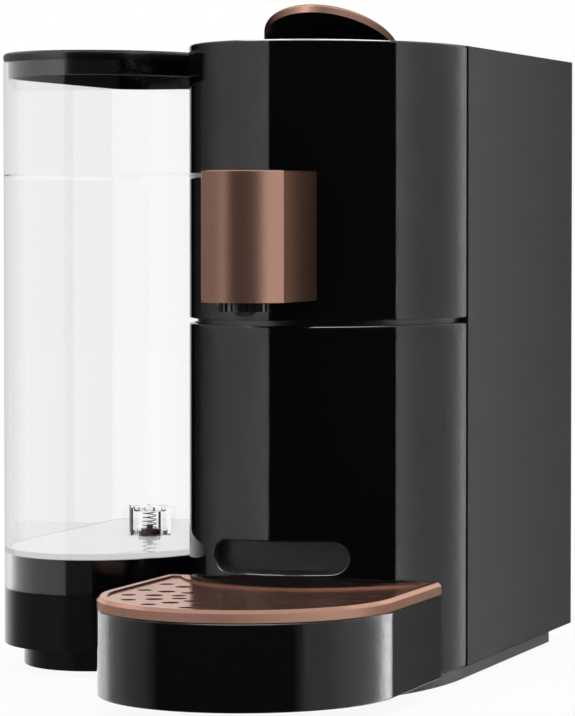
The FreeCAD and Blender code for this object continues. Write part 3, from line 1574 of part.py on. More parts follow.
def pressure_pipe():
    """The pipe from the pump's nose up through the deck to the heater block."""
    nose_end = pump_front + pump_tail_length + pump_coil_length + pump_nose_length
    middle_z = (block_bottom + block_top) / 2
    back = nose_end + pressure_pipe_lead
    climb = block_back + pressure_pipe_setback
    points = [V(pump_x, nose_end, pump_height), V(pump_x, back, pump_height),
              V(pump_x, back, deck_bottom - pressure_pipe_bow),
              V(pump_x, climb, deck_bottom - pressure_pipe_rise),
              V(pump_x, climb, middle_z),
              V(pump_x, block_back + 2 * port_radius, middle_z)]
    return swept(points, pipe_radius, pressure_pipe_bend)


def hot_water_pipe():
    """The elbow from the heater block's port to the injector's nipple."""
    nipple_end = injector_block_back + nipple_length
    points = [V(0, hot_port_y(), block_top + port_height), V(0, hot_port_y(), chamber_height),
              V(0, nipple_end, chamber_height)]
    return bent_tube(points, nipple_radius, nipple_bore_radius, hose_bend)


def power_board():
    """The upright power board with its capacitors, relay and transformer."""
    x = power_board_x
    board = box(x, x + board_thickness, power_board_front, power_board_back,
                power_board_bottom, power_board_top)
    parts = [board]
    parts.append(box(x - 16, x, power_board_front + 12, power_board_front + 36,
                     power_board_bottom + 10, power_board_bottom + 34))
    parts.append(box(x - 12, x, power_board_front + 50, power_board_front + 68,
                     power_board_bottom + 12, power_board_bottom + 30))
    for step in range(3):
        y = power_board_front + 20 + step * 18
        z = power_board_top - 22
        parts.append(rod(5.5, V(x - 18, y, z), V(x, y, z)))
    return fuse_all(parts)


def board_standoffs():
    """The spacers between the power board and the right-hand side panel."""
    spots = []
    outer = body_half_width - wall
    for y in (power_board_front + 6, power_board_back - 6):
        for z in (power_board_bottom + 6, power_board_top - 6):
            spots.append(rod(3.0, V(power_board_x + board_thickness, y, z), V(outer, y, z)))
    return spots


# Nodes


def all_nodes():
    """Every node of the machine by name."""
    nodes = {
        "plinth": plinth(),
        "base_plate": base_plate(),
        "rubber_feet": rubber_feet(),
        "right_side_panel": side_panel(),
        "left_side_panel": left_side_panel(),
        "rear_panel": rear_panel(),
        "rear_panel_screws": rear_panel_screws(),
        "rear_screw_bosses": rear_screw_bosses(),
        "cord_gland": cord_gland(),
        "upper_front_panel": upper_front_panel(),
        "top_cover": top_cover(),
        "middle_deck": middle_deck(),
        "bulkhead": bulkhead(),
        "drawer_rails": [drawer_rail(), mirrored(drawer_rail())],
        "head_sleeve": head_sleeve(),
        "head_core": head_core(),
        "head_screws": head_screws(),
        "outlet_nozzle": outlet_nozzle(),
        "coffee_channel": coffee_channel(),
        "capsule_chute": capsule_chute(),
        "right_brew_cheek": brew_cheek(),
        "left_brew_cheek": mirrored(brew_cheek()),
        "injector": injector(),
        "chamber_gasket": chamber_gasket(),
        "shaft_bushes": [shaft_bush(), mirrored(shaft_bush())],
        "capsule_cup": capsule_cup(),
        "lever_handle": lever_handle(),
        "lever_arm": lever_arm(),
        "lever_shaft": lever_shaft(),
        "gear_sectors": [gear_sector(), mirrored(gear_sector())],
        "button_board": button_board(),
        "button_switches": button_switches(),
        "lower_front_panel": lower_front_panel(),
        "drawer_carrier": drawer_carrier(),
        "capsule_bin": capsule_bin(),
        "drip_tray": drip_tray(),
        "drip_grid": drip_grid(),
        "water_tank": water_tank(),
        "valve_cage": valve_cage(),
        "valve_poppet": valve_poppet(),
        "valve_spring": valve_spring(),
        "tank_lid": tank_lid(),
        "tank_dock": tank_dock(),
        "dock_foot": dock_foot(),
        "dock_spigot": dock_spigot(),
        "dock_seal": dock_seal(),
        "thermoblock": thermoblock(),
        "thermal_fuses": thermal_fuses(),
        "vibration_pump": vibration_pump(),
        "pump_mounts": pump_mounts(),
        "flow_meter": flow_meter(),
        "suction_hose": suction_hose(),
        "pump_hose": pump_hose(),
        "pressure_pipe": pressure_pipe(),
        "hot_water_pipe": hot_water_pipe(),
        "power_board": power_board(),
        "board_standoffs": board_standoffs(),
    }
    for name, (x, y) in zip(button_names, button_places):
        nodes[name] = push_button(x, y)
    return nodes


def save(name, shape):
    """Writes one node as a STEP file, moved to the machine's own origin."""
    solids = shape if isinstance(shape, list) else shape.Solids
    moved = []
    for solid in solids:
        for piece in solid.Solids:
            copy = piece.copy()
            copy.translate(origin * -1)
            moved.append(copy)
    whole = moved[0] if len(moved) == 1 else Part.makeCompound(moved)
    whole.exportStep("parts/" + name + ".step")
    box_of = whole.BoundBox
    print("%-20s solids %d volume %9.0f valid %s x %.1f..%.1f y %.1f..%.1f z %.1f..%.1f" % (
        name, len(moved), whole.Volume, whole.isValid(), box_of.XMin, box_of.XMax,
        box_of.YMin, box_of.YMax, box_of.ZMin, box_of.ZMax))


os.makedirs("parts", exist_ok=True)
for node_name, node_shape in all_nodes().items():
    save(node_name, node_shape)
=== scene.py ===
"""Single-serve coffee machine: finishes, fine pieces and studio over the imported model.

All lengths are in metres. X runs across, Y from the front (minus) to the back, Z is up, and
the origin is the middle of the machine's footprint on the table.
"""

import json
import logging
import math
from dataclasses import dataclass, replace
from enum import Enum
from typing import Protocol

import bpy
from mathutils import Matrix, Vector

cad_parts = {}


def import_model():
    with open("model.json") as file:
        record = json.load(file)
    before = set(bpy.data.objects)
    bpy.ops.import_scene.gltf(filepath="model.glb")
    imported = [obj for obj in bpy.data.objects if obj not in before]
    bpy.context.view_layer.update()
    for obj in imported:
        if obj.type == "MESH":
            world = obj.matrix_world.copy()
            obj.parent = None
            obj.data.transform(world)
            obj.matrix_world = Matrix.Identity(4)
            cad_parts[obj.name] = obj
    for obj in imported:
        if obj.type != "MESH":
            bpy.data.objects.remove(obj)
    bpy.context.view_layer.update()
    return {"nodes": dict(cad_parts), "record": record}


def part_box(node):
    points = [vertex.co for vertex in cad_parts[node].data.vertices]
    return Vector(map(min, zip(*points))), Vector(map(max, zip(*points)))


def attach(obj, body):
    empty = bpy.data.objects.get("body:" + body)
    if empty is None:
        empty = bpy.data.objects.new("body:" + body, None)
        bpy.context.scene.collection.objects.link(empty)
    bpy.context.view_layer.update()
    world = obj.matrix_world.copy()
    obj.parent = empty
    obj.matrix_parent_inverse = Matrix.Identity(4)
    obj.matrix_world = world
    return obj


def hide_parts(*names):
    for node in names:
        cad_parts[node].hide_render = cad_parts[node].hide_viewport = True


LOG = logging.getLogger("coffee_machine")

Point = tuple[float, float, float]
Rim = tuple[Point, Point]
Colour = tuple[float, float, float]
Stop = tuple[float, float]

# Camera that matches the photograph
CAMERA_PLACE = (0.59763, -1.74974, 0.2195)
CAMERA_TILT = math.radians(87.9)
CAMERA_TURN = math.radians(18.0)
CAMERA_LENS = 193.2
CAMERA_SENSOR = 36.0
CAMERA_NEAR = 0.05
CAMERA_FAR = 50.0

# Floor, diffuse light, and where the ceiling begins and is full, as the rise of a ray
FLOOR_HALF = 4.0
FLOOR_COLOUR = (0.95, 0.95, 0.95)
FLOOR_GLOW = 0.93
FILL_LIGHT = 1.06
CEILING_START = 0.2
CEILING_FULL = 0.55

# Lamps that only glossy surfaces see: rings round the machine, a card behind it and a roof
FULL_TURN = (-180.0, 180.0)
RING_RADIUS = 3.0
RING_STEP = 0.01
RING_SIDES = 128
RING_LEVELS = (-3.0, 3.0)
CARD_TURNS = (-200.0, -132.0)
CARD_LEVELS = (0.25, 1.6)
CARD_LIGHT = 0.75
CARD_SHARE = 0.8
ROOF_HEIGHT = 2.6
ROOF_INNER = 0.35
ROOF_OUTER = 1.9
ROOF_LIGHT = 22.0

# Finishes: refraction of the clear plastic, and how fine and how strong the wander and grain are
CLEAR_IOR = 1.34
WANDER_SCALE = 9.0
WANDER_DETAIL = 3.0
GRAIN_DETAIL = 2.0
GRAIN_STRENGTH = 0.5

# Mesh resolution
BOW_STEPS = 96
CORNER_STEPS = 12
ROUND_STEPS = 6
PILL_STEPS = 16
SIGN_STEPS = 48
POINT_DIGITS = 8
SLACK = 1e-9

# Places along the machine, measured from the joint between its nose and its sides
HALF_JOINT = 0.0017
SIDE_DEPTH = 0.2065
TRAY_STRAIGHT = 0.1277
TRAY_GAP = 0.0004
TANK_FRONT = 0.032
TANK_CORNER = 0.018


class Kind(Enum):
    """How a finish takes light."""

    PLASTIC = "plastic"
    METAL = "metal"
    CLEAR = "clear"


class Reach(Enum):
    """Which pieces a lamp lights."""

    ONLY = "INCLUDE"
    ALL_BUT = "EXCLUDE"


@dataclass(frozen=True)
class Finish:
    """One surface finish.

    Args:
        name: What the finish is called here.
        slot: The record's material slot.
        colour: Linear base colour.
        roughness: Middle roughness.
        kind: How the finish takes light.
        vary: How far the roughness wanders either way.
        grain: Size of the fine bumps, in metres.
        relief: Depth of the fine bumps, in metres.
        shine: Specular level.
        edge: Tint of a metal seen at a grazing angle.
        metal: How metallic a metal is.
    """

    name: str
    slot: str
    colour: Colour
    roughness: float
    kind: Kind = Kind.PLASTIC
    vary: float = 0.02
    grain: float = 0.0008
    relief: float = 0.0
    shine: float = 0.5
    edge: Colour = (1.0, 1.0, 1.0)
    metal: float = 1.0

    def material(self) -> bpy.types.Material:
        """Makes the node material of this finish, once.

        Returns:
            The material.
        """
        name = "finish_" + self.name
        known = bpy.data.materials.get(name)
        if known is not None:
            return known
        made = bpy.data.materials.new(name)
        made.use_nodes = True
        tree = made.node_tree
        shader = tree.nodes["Principled BSDF"]
        shader.inputs["Base Color"].default_value = (*self.colour, 1.0)
        shader.inputs["Metallic"].default_value = self.metal if self.kind is Kind.METAL else 0.0
        shader.inputs["Roughness"].default_value = self.roughness
        shader.inputs["Specular IOR Level"].default_value = self.shine
        shader.inputs["Specular Tint"].default_value = (*self.edge, 1.0)
        if self.kind is Kind.CLEAR:
            shader.inputs["Transmission Weight"].default_value = 1.0
            shader.inputs["IOR"].default_value = CLEAR_IOR
            return made
        coords = tree.nodes.new("ShaderNodeTexCoord")
        if self.vary > 0:
            self._wander(tree, coords, shader)
        if self.relief > 0:
            self._bumps(tree, coords, shader)
        return made

    def _wander(self, tree: bpy.types.NodeTree, coords: bpy.types.Node, shader: bpy.types.Node) -> None:
        """Lets the roughness wander a little over the surface.

        Args:
            tree: The material's nodes.
            coords: The node that gives places on the surface.
            shader: The surface's shader.
        """
        noise = tree.nodes.new("ShaderNodeTexNoise")
        noise.inputs["Scale"].default_value = WANDER_SCALE
        noise.inputs["Detail"].default_value = WANDER_DETAIL
        limits = tree.nodes.new("ShaderNodeMapRange")
        limits.inputs["To Min"].default_value = max(self.roughness - self.vary, 0.0)
        limits.inputs["To Max"].default_value = self.roughness + self.vary
        tree.links.new(coords.outputs["Object"], noise.inputs["Vector"])
        tree.links.new(noise.outputs["Fac"], limits.inputs["Value"])
        tree.links.new(limits.outputs["Result"], shader.inputs["Roughness"])

    def _bumps(self, tree: bpy.types.NodeTree, coords: bpy.types.Node, shader: bpy.types.Node) -> None:
        """Adds the fine grain of a moulded or painted surface.

        Args:
            tree: The material's nodes.
            coords: The node that gives places on the surface.
            shader: The surface's shader.
        """
        noise = tree.nodes.new("ShaderNodeTexNoise")
        noise.inputs["Scale"].default_value = 1.0 / self.grain
        noise.inputs["Detail"].default_value = GRAIN_DETAIL
        bump = tree.nodes.new("ShaderNodeBump")
        bump.inputs["Strength"].default_value = GRAIN_STRENGTH
        bump.inputs["Distance"].default_value = self.relief
        tree.links.new(coords.outputs["Object"], noise.inputs["Vector"])
        tree.links.new(noise.outputs["Fac"], bump.inputs["Height"])
        tree.links.new(bump.outputs["Normal"], shader.inputs["Normal"])


SHELL = Finish("shell", "shell", (0.0024, 0.0024, 0.0027), 0.02, vary=0.006, shine=0.3)
SIDE = Finish("side", "side", (0.006, 0.006, 0.0068), 0.19, vary=0.015, grain=0.0005, relief=0.00001,
              shine=0.16)
BLACK = Finish("black", "black", (0.006, 0.006, 0.0065), 0.3, vary=0.05, grain=0.0006, relief=0.00002)
# The grip pocket's black plastic is painted lighter than BLACK: painted fill light inside the deep recess, not a
# different plastic.
POCKET_PAINTED_FILL = Finish("pocket", "black", (0.022, 0.022, 0.024), 0.35, vary=0.05, grain=0.0006, relief=0.00002)
DOCK = Finish("dock", "black", (0.004, 0.004, 0.0047), 0.16, vary=0.03, shine=0.15)
LID = Finish("lid", "black", (0.004, 0.004, 0.0045), 0.2, vary=0.04, grain=0.0006, relief=0.00001)
COPPER = Finish("copper", "copper", (0.42, 0.24, 0.182), 0.2, Kind.METAL, vary=0.02, grain=0.0004,
                relief=0.000005, edge=(0.72, 0.52, 0.44))
HEAD = replace(COPPER, name="head", metal=0.93)
GRID = replace(COPPER, name="grid", colour=(0.42, 0.235, 0.175), edge=(0.85, 0.66, 0.58), metal=0.84)
CLEAR = Finish("clear", "clear", (1.0, 1.0, 1.0), 0.0, Kind.CLEAR)
TRAY = Finish("tray", "tray", (0.0035, 0.0035, 0.004), 0.05, vary=0.01, shine=0.4)
RUBBER = Finish("rubber", "rubber", (0.009, 0.009, 0.0095), 0.65, vary=0.08, grain=0.0005, relief=0.00004,
                shine=0.2)
SEAL = Finish("seal", "seal", (0.45, 0.12, 0.08), 0.45, vary=0.05)
STEEL = Finish("steel", "steel", (0.55, 0.55, 0.56), 0.25, Kind.METAL, vary=0.06, grain=0.0003,
               relief=0.00001)
BLOCK = Finish("block", "block", (0.62, 0.62, 0.63), 0.5, Kind.METAL, vary=0.1, grain=0.0009,
               relief=0.00008)
WORKS = Finish("works", "works", (0.72, 0.70, 0.64), 0.42, vary=0.05, grain=0.0006, relief=0.00003)
PUMP = Finish("pump", "pump", (0.2, 0.2, 0.22), 0.4, vary=0.08, grain=0.0008, relief=0.00005)
BOARD = Finish("board", "board", (0.04, 0.2, 0.1), 0.35, vary=0.05)
BROWN = Finish("brown", "brown", (0.09, 0.04, 0.03), 0.35, vary=0.05)

SLOT_FINISHES = {finish.slot: finish for finish in (
    SHELL, SIDE, BLACK, COPPER, CLEAR, TRAY, RUBBER, SEAL, STEEL, BLOCK, WORKS, PUMP, BOARD, BROWN)}
NODE_FINISHES = {"tank_dock": DOCK, "dock_foot": DOCK, "drip_grid": GRID, "head_sleeve": HEAD, "tank_lid": LID}


def paint(thing: bpy.types.Object, finish: Finish) -> None:
    """Gives an object one finish.

    Args:
        thing: The object.
        finish: Its finish.
    """
    thing.data.materials.clear()
    thing.data.materials.append(finish.material())


def place(thing: bpy.types.Object, body: str, finish: Finish) -> None:
    """Finishes a piece and puts it on its body.

    Args:
        thing: The piece.
        body: The body that carries it.
        finish: Its finish.
    """
    paint(thing, finish)
    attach(thing, body)
    LOG.info("%s on %s", thing.name, body)


@dataclass(frozen=True)
class Solids:
    """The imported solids, each in its own finish."""

    nodes: dict[str, bpy.types.Object]
    slots: dict[str, str]

    def build(self) -> None:
        """Dresses every solid, and keeps the clear ones out of reflections."""
        for name, node in self.nodes.items():
            finish = NODE_FINISHES.get(name, SLOT_FINISHES[self.slots[name]])
            paint(node, finish)
            if finish.kind is Kind.CLEAR:
                node.visible_glossy = False
            LOG.info("%s in %s", name, finish.name)


@dataclass(frozen=True)
class Edge:
    """A point on an outline seen from above, with the way its wall faces."""

    x: float
    y: float
    face_x: float
    face_y: float


@dataclass(frozen=True)
class Spot:
    """A point on a wall's profile: how far inside the outline, how high, and the way it faces."""

    inset: float
    height: float
    out: float
    up: float


def straight(start: tuple[float, float], end: tuple[float, float]) -> list[Spot]:
    """A flat stretch of a profile that faces to the right of its direction.

    Args:
        start: Inset and height where it starts.
        end: Inset and height where it ends.

    Returns:
        Its two spots.
    """
    outward, rise = start[0] - end[0], end[1] - start[1]
    length = math.hypot(outward, rise)
    out, up = rise / length, -outward / length
    return [Spot(*start, out, up), Spot(*end, out, up)]


def rounding(inset: float, height: float, radius: float, start: float, end: float) -> list[Spot]:
    """A round stretch of a profile.

    Args:
        inset: How far inside the outline its centre lies.
        height: Height of its centre.
        radius: Its radius.
        start: Angle above outwards where it starts, in degrees.
        end: Angle above outwards where it ends, in degrees.

    Returns:
        Its spots.
    """
    spots = []
    for step in range(ROUND_STEPS + 1):
        turn = math.radians(start + (end - start) * step / ROUND_STEPS)
        out, up = math.cos(turn), math.sin(turn)
        spots.append(Spot(inset - radius * out, height + radius * up, out, up))
    return spots


def rounded_wall(thickness: float, bottom: float, top: float, top_round: float,
                 bottom_round: float) -> list[list[Spot]]:
    """The whole profile of a wall whose outer edges are rounded.

    Args:
        thickness: The wall's thickness.
        bottom: Height of its lower edge.
        top: Height of its upper edge.
        top_round: Radius of its upper outer edge.
        bottom_round: Radius of its lower outer edge.

    Returns:
        The outer face, the upper rounding, the upper face, the inner face, the lower face and the
        lower rounding.
    """
    return [
        straight((0.0, bottom + bottom_round), (0.0, top - top_round)),
        rounding(top_round, top - top_round, top_round, 0.0, 90.0),
        straight((top_round, top), (thickness, top)),
        straight((thickness, top), (thickness, bottom)),
        straight((thickness, bottom), (bottom_round, bottom)),
        rounding(bottom_round, bottom + bottom_round, bottom_round, -90.0, 0.0),
    ]


def bowed(x: float, y: float, rx: float, ry: float, turns: list[float]) -> list[Edge]:
    """Part of an ellipse that bulges forward.

    Args:
        x: Its centre across.
        y: Its centre from front to back.
        rx: Its radius across.
        ry: Its radius from front to back.
        turns: Angles of the points, from its left end to its right end.

    Returns:
        The points.
    """
    edges = []
    for turn in turns:
        nx, ny = -math.cos(turn) / rx, -math.sin(turn) / ry
        size = math.hypot(nx, ny)
        edges.append(Edge(x - rx * math.cos(turn), y - ry * math.sin(turn), nx / size, ny / size))
    return edges


def side(start: tuple[float, float], end: tuple[float, float]) -> list[Edge]:
    """A straight stretch of an outline that runs anticlockwise seen from above.

    Args:
        start: Where it starts.
        end: Where it ends.

    Returns:
        Its two ends.
    """
    run_x, run_y = end[0] - start[0], end[1] - start[1]
    length = math.hypot(run_x, run_y)
    return [Edge(*start, run_y / length, -run_x / length), Edge(*end, run_y / length, -run_x / length)]


def spread(start: float, end: float, steps: int) -> list[float]:
    """Evenly spaced values from a start to an end."""
    return [start + (end - start) * step / steps for step in range(steps + 1)]


class Outline(Protocol):
    """A line seen from above that a wall follows."""

    def runs(self, inset: float) -> list[list[Edge]]:
        """The line drawn in by an inset, as runs from crease to crease."""


@dataclass(frozen=True)
class NoseOutline:
    """The casing's bowed front, open at the joints with the side panels."""

    x: float
    y: float
    half_width: float
    depth: float
    half_gap: float
    shares: tuple[float, ...]

    def runs(self, inset: float) -> list[list[Edge]]:
        """The outline drawn in by an inset.

        Args:
            inset: How far inside.

        Returns:
            One run from left to right.
        """
        rx, ry = self.half_width - inset, self.depth - inset
        start = math.asin(self.half_gap / ry)
        turns = [start + share * (math.pi - 2 * start) for share in self.shares]
        return [bowed(self.x, self.y, rx, ry, turns)]

    def surface_y(self, x: float, inset: float) -> float:
        """How far forward the front stands at a place across it."""
        share = (x - self.x) / (self.half_width - inset)
        return self.y - (self.depth - inset) * math.sqrt(max(1 - share * share, 0.0))

    def facing(self, x: float) -> Point:
        """The way the front faces at a place across it.

        Args:
            x: The place.

        Returns:
            Its direction.
        """
        share = (x - self.x) / self.half_width
        across, ahead = share / self.half_width, -math.sqrt(max(1 - share * share, 0.0)) / self.depth
        size = math.hypot(across, ahead)
        return across / size, ahead / size, 0.0

    def share_of(self, x: float, inset: float) -> float:
        """The share along the outline at which it passes a place across it.

        Args:
            x: The place.
            inset: How far inside the outline is drawn.

        Returns:
            The share, from 0 at the left end to 1 at the right end.
        """
        rx, ry = self.half_width - inset, self.depth - inset
        start = math.asin(self.half_gap / ry)
        turn = math.acos((self.x - x) / rx)
        return (turn - start) / (math.pi - 2 * start)


@dataclass(frozen=True)
class TrayOutline:
    """The drip tray's outline: a bowed front, straight sides, tips, and a back that follows the nose."""

    nose: NoseOutline
    half_width: float
    straight_y: float
    depth: float
    tip_y: float
    gap: float

    def runs(self, inset: float) -> list[list[Edge]]:
        """The outline drawn in by an inset.

        Args:
            inset: How far inside.

        Returns:
            Its six runs, anticlockwise from the front's left end.
        """
        x, nose = self.nose.x, self.nose
        half, tip_y = self.half_width - inset, self.tip_y - inset
        rx, ry = nose.half_width + self.gap + inset, nose.depth + self.gap + inset
        turn = math.asin((nose.y - tip_y) / ry)
        tip_x = rx * math.cos(turn)
        back = [Edge(e.x, e.y, -e.face_x, -e.face_y)
                for e in bowed(x, nose.y, rx, ry, spread(math.pi - turn, turn, BOW_STEPS))]
        return [
            bowed(x, self.straight_y, half, self.depth - inset, spread(0.0, math.pi, BOW_STEPS)),
            side((x + half, self.straight_y), (x + half, tip_y)),
            side((x + half, tip_y), (x + tip_x, tip_y)),
            back,
            side((x - tip_x, tip_y), (x - half, tip_y)),
            side((x - half, tip_y), (x - half, self.straight_y)),
        ]


@dataclass(frozen=True)
class TankOutline:
    """The tank's outline: a bowed front, straight sides and a back with round corners."""

    x: float
    front_y: float
    half_width: float
    depth: float
    back_y: float
    corner: float

    def runs(self, inset: float) -> list[list[Edge]]:
        """The outline drawn in by an inset.

        Args:
            inset: How far inside.

        Returns:
            Its six runs, anticlockwise from the front's left end.
        """
        half, back, radius = self.half_width - inset, self.back_y - inset, self.corner - inset
        turn_y = back - radius
        right_turns = spread(math.pi, 1.5 * math.pi, CORNER_STEPS)
        left_turns = spread(1.5 * math.pi, 2 * math.pi, CORNER_STEPS)
        return [
            bowed(self.x, self.front_y, half, self.depth - inset, spread(0.0, math.pi, BOW_STEPS)),
            side((self.x + half, self.front_y), (self.x + half, turn_y)),
            bowed(self.x + half - radius, turn_y, radius, radius, right_turns),
            side((self.x + half - radius, back), (self.x - half + radius, back)),
            bowed(self.x - half + radius, turn_y, radius, radius, left_turns),
            side((self.x - half, turn_y), (self.x - half, self.front_y)),
        ]


@dataclass(frozen=True)
class RoundOutline:
    """A circle, for the raised signs."""

    x: float
    y: float
    radius: float

    def runs(self, inset: float) -> list[list[Edge]]:
        """The circle drawn in by an inset."""
        radius = self.radius - inset
        return [bowed(self.x, self.y, radius, radius, spread(0.0, 2 * math.pi, SIGN_STEPS))]


class Skin:
    """A mesh whose every corner keeps the true direction of the surface."""

    def __init__(self) -> None:
        """Starts an empty mesh."""
        self._verts: list[Point] = []
        self._known: dict[Point, int] = {}
        self._faces: list[list[int]] = []
        self._facing: list[Point] = []

    def face(self, points: list[Point], facing: list[Point]) -> None:
        """Adds one face.

        Args:
            points: Its corners, anticlockwise seen from outside.
            facing: The surface's direction at each corner, or one for all.
        """
        if len(facing) == 1:
            facing = facing * len(points)
        loop, ways = [], []
        for point, way in zip(points, facing):
            key = tuple(round(value, POINT_DIGITS) for value in point)
            index = self._known.setdefault(key, len(self._verts))
            if index == len(self._verts):
                self._verts.append(key)
            if index not in loop:
                loop.append(index)
                ways.append(way)
        if len(loop) > 2:
            self._faces.append(loop)
            self._facing.extend(ways)

    def strip(self, outline: Outline, profile: list[list[Spot]]) -> None:
        """Runs a profile along an outline, without ends.

        Args:
            outline: The outline.
            profile: The profile's stretches.
        """
        for spots in profile:
            for low, high in zip(spots, spots[1:]):
                for low_run, high_run in zip(outline.runs(low.inset), outline.runs(high.inset)):
                    for index in range(len(low_run) - 1):
                        pairs = ((low_run[index], low), (low_run[index + 1], low),
                                 (high_run[index + 1], high), (high_run[index], high))
                        self.face([(e.x, e.y, s.height) for e, s in pairs],
                                  [(e.face_x * s.out, e.face_y * s.out, s.up) for e, s in pairs])

    def lid(self, outline: Outline, inset: float, height: float, up: float) -> None:
        """Closes an outline with a flat face.

        Args:
            outline: The outline.
            inset: How far inside it the face's edge lies.
            height: The face's height.
            up: 1 where it looks up, and -1 where it looks down.
        """
        ring = [(e.x, e.y, height) for run in outline.runs(inset) for e in run[:-1]]
        if up < 0:
            ring.reverse()
        self.face(ring, [(0.0, 0.0, up)])

    def ends(self, outline: Outline, profile: list[list[Spot]]) -> None:
        """Closes both ends of a profile that ran along an open outline.

        Args:
            outline: The outline.
            profile: The profile's stretches.
        """
        for last in (False, True):
            ring = []
            for spots in profile:
                for spot in spots[:-1]:
                    edge = outline.runs(spot.inset)[0][-1 if last else 0]
                    ring.append((edge.x, edge.y, spot.height))
            if last:
                ring.reverse()
            self.face(ring, [(0.0, 1.0, 0.0)])

    def block(self, low: Point, high: Point) -> None:
        """Adds a plain box.

        Args:
            low: Its lowest corner.
            high: Its highest corner.
        """
        outline = [side((low[0], low[1]), (high[0], low[1])), side((high[0], low[1]), (high[0], high[1])),
                   side((high[0], high[1]), (low[0], high[1])), side((low[0], high[1]), (low[0], low[1]))]
        for a, b in outline:
            self.face([(a.x, a.y, low[2]), (b.x, b.y, low[2]), (b.x, b.y, high[2]), (a.x, a.y, high[2])],
                      [(a.face_x, a.face_y, 0.0)])
        ring = [(run[0].x, run[0].y) for run in outline]
        self.face([(x, y, high[2]) for x, y in ring], [(0.0, 0.0, 1.0)])
        self.face([(x, y, low[2]) for x, y in reversed(ring)], [(0.0, 0.0, -1.0)])

    def piece(self, name: str) -> bpy.types.Object:
        """Puts the finished mesh into the scene.

        Args:
            name: The piece's name.

        Returns:
            Its object.
        """
        mesh = bpy.data.meshes.new(name)
        mesh.from_pydata(self._verts, [], self._faces)
        mesh.polygons.foreach_set("use_smooth", [True] * len(mesh.polygons))
        mesh.normals_split_custom_set(self._facing)
        mesh.update()
        thing = bpy.data.objects.new(name, mesh)
        bpy.context.scene.collection.objects.link(thing)
        return thing


@dataclass(frozen=True)
class Pill:
    """The outline of the sunken grip: a bar with round ends, seen from the front."""

    x: float
    middle: float
    half_width: float
    radius: float

    def grown(self, extra: float) -> "Pill":
        """The same outline, larger all round."""
        return Pill(self.x, self.middle, self.half_width + extra, self.radius + extra)

    def halves(self, x: float) -> tuple[Rim, Rim] | None:
        """Where the outline's lower and upper halves pass a place across it.

        Args:
            x: The place across it.

        Returns:
            For the lower and then the upper half, the centre of its curve and the way it faces, both
            in the XZ plane; nothing where the place lies outside the outline.
        """
        flat = self.half_width - self.radius
        over = max(abs(x - self.x) - flat, 0.0)
        if over > self.radius + SLACK:
            return None
        sideways = math.copysign(min(over / self.radius, 1.0), x - self.x)
        upright = math.sqrt(max(1 - sideways * sideways, 0.0))
        centre = (x if over <= 0 else self.x + math.copysign(flat, x - self.x), 0.0, self.middle)
        return (centre, (sideways, 0.0, -upright)), (centre, (sideways, 0.0, upright))

    def columns(self) -> list[float]:
        """Places across the outline that follow its ends closely.

        Returns:
            The places, in no order.
        """
        flat = self.half_width - self.radius
        ends = [flat + self.radius * math.sin(turn) for turn in spread(0.0, math.pi / 2, PILL_STEPS)]
        return [self.x + way * value for way in (-1, 1) for value in ends]

    def ring(self, xs: list[float]) -> list[Rim]:
        """The whole outline, anticlockwise seen from the front.

        Args:
            xs: Places across it, from left to right.

        Returns:
            Its centres and facings.
        """
        inside = [halves for halves in map(self.halves, xs) if halves is not None]
        lower = [halves[0] for halves in inside]
        upper = [halves[1] for halves in inside]
        return lower + upper[::-1]


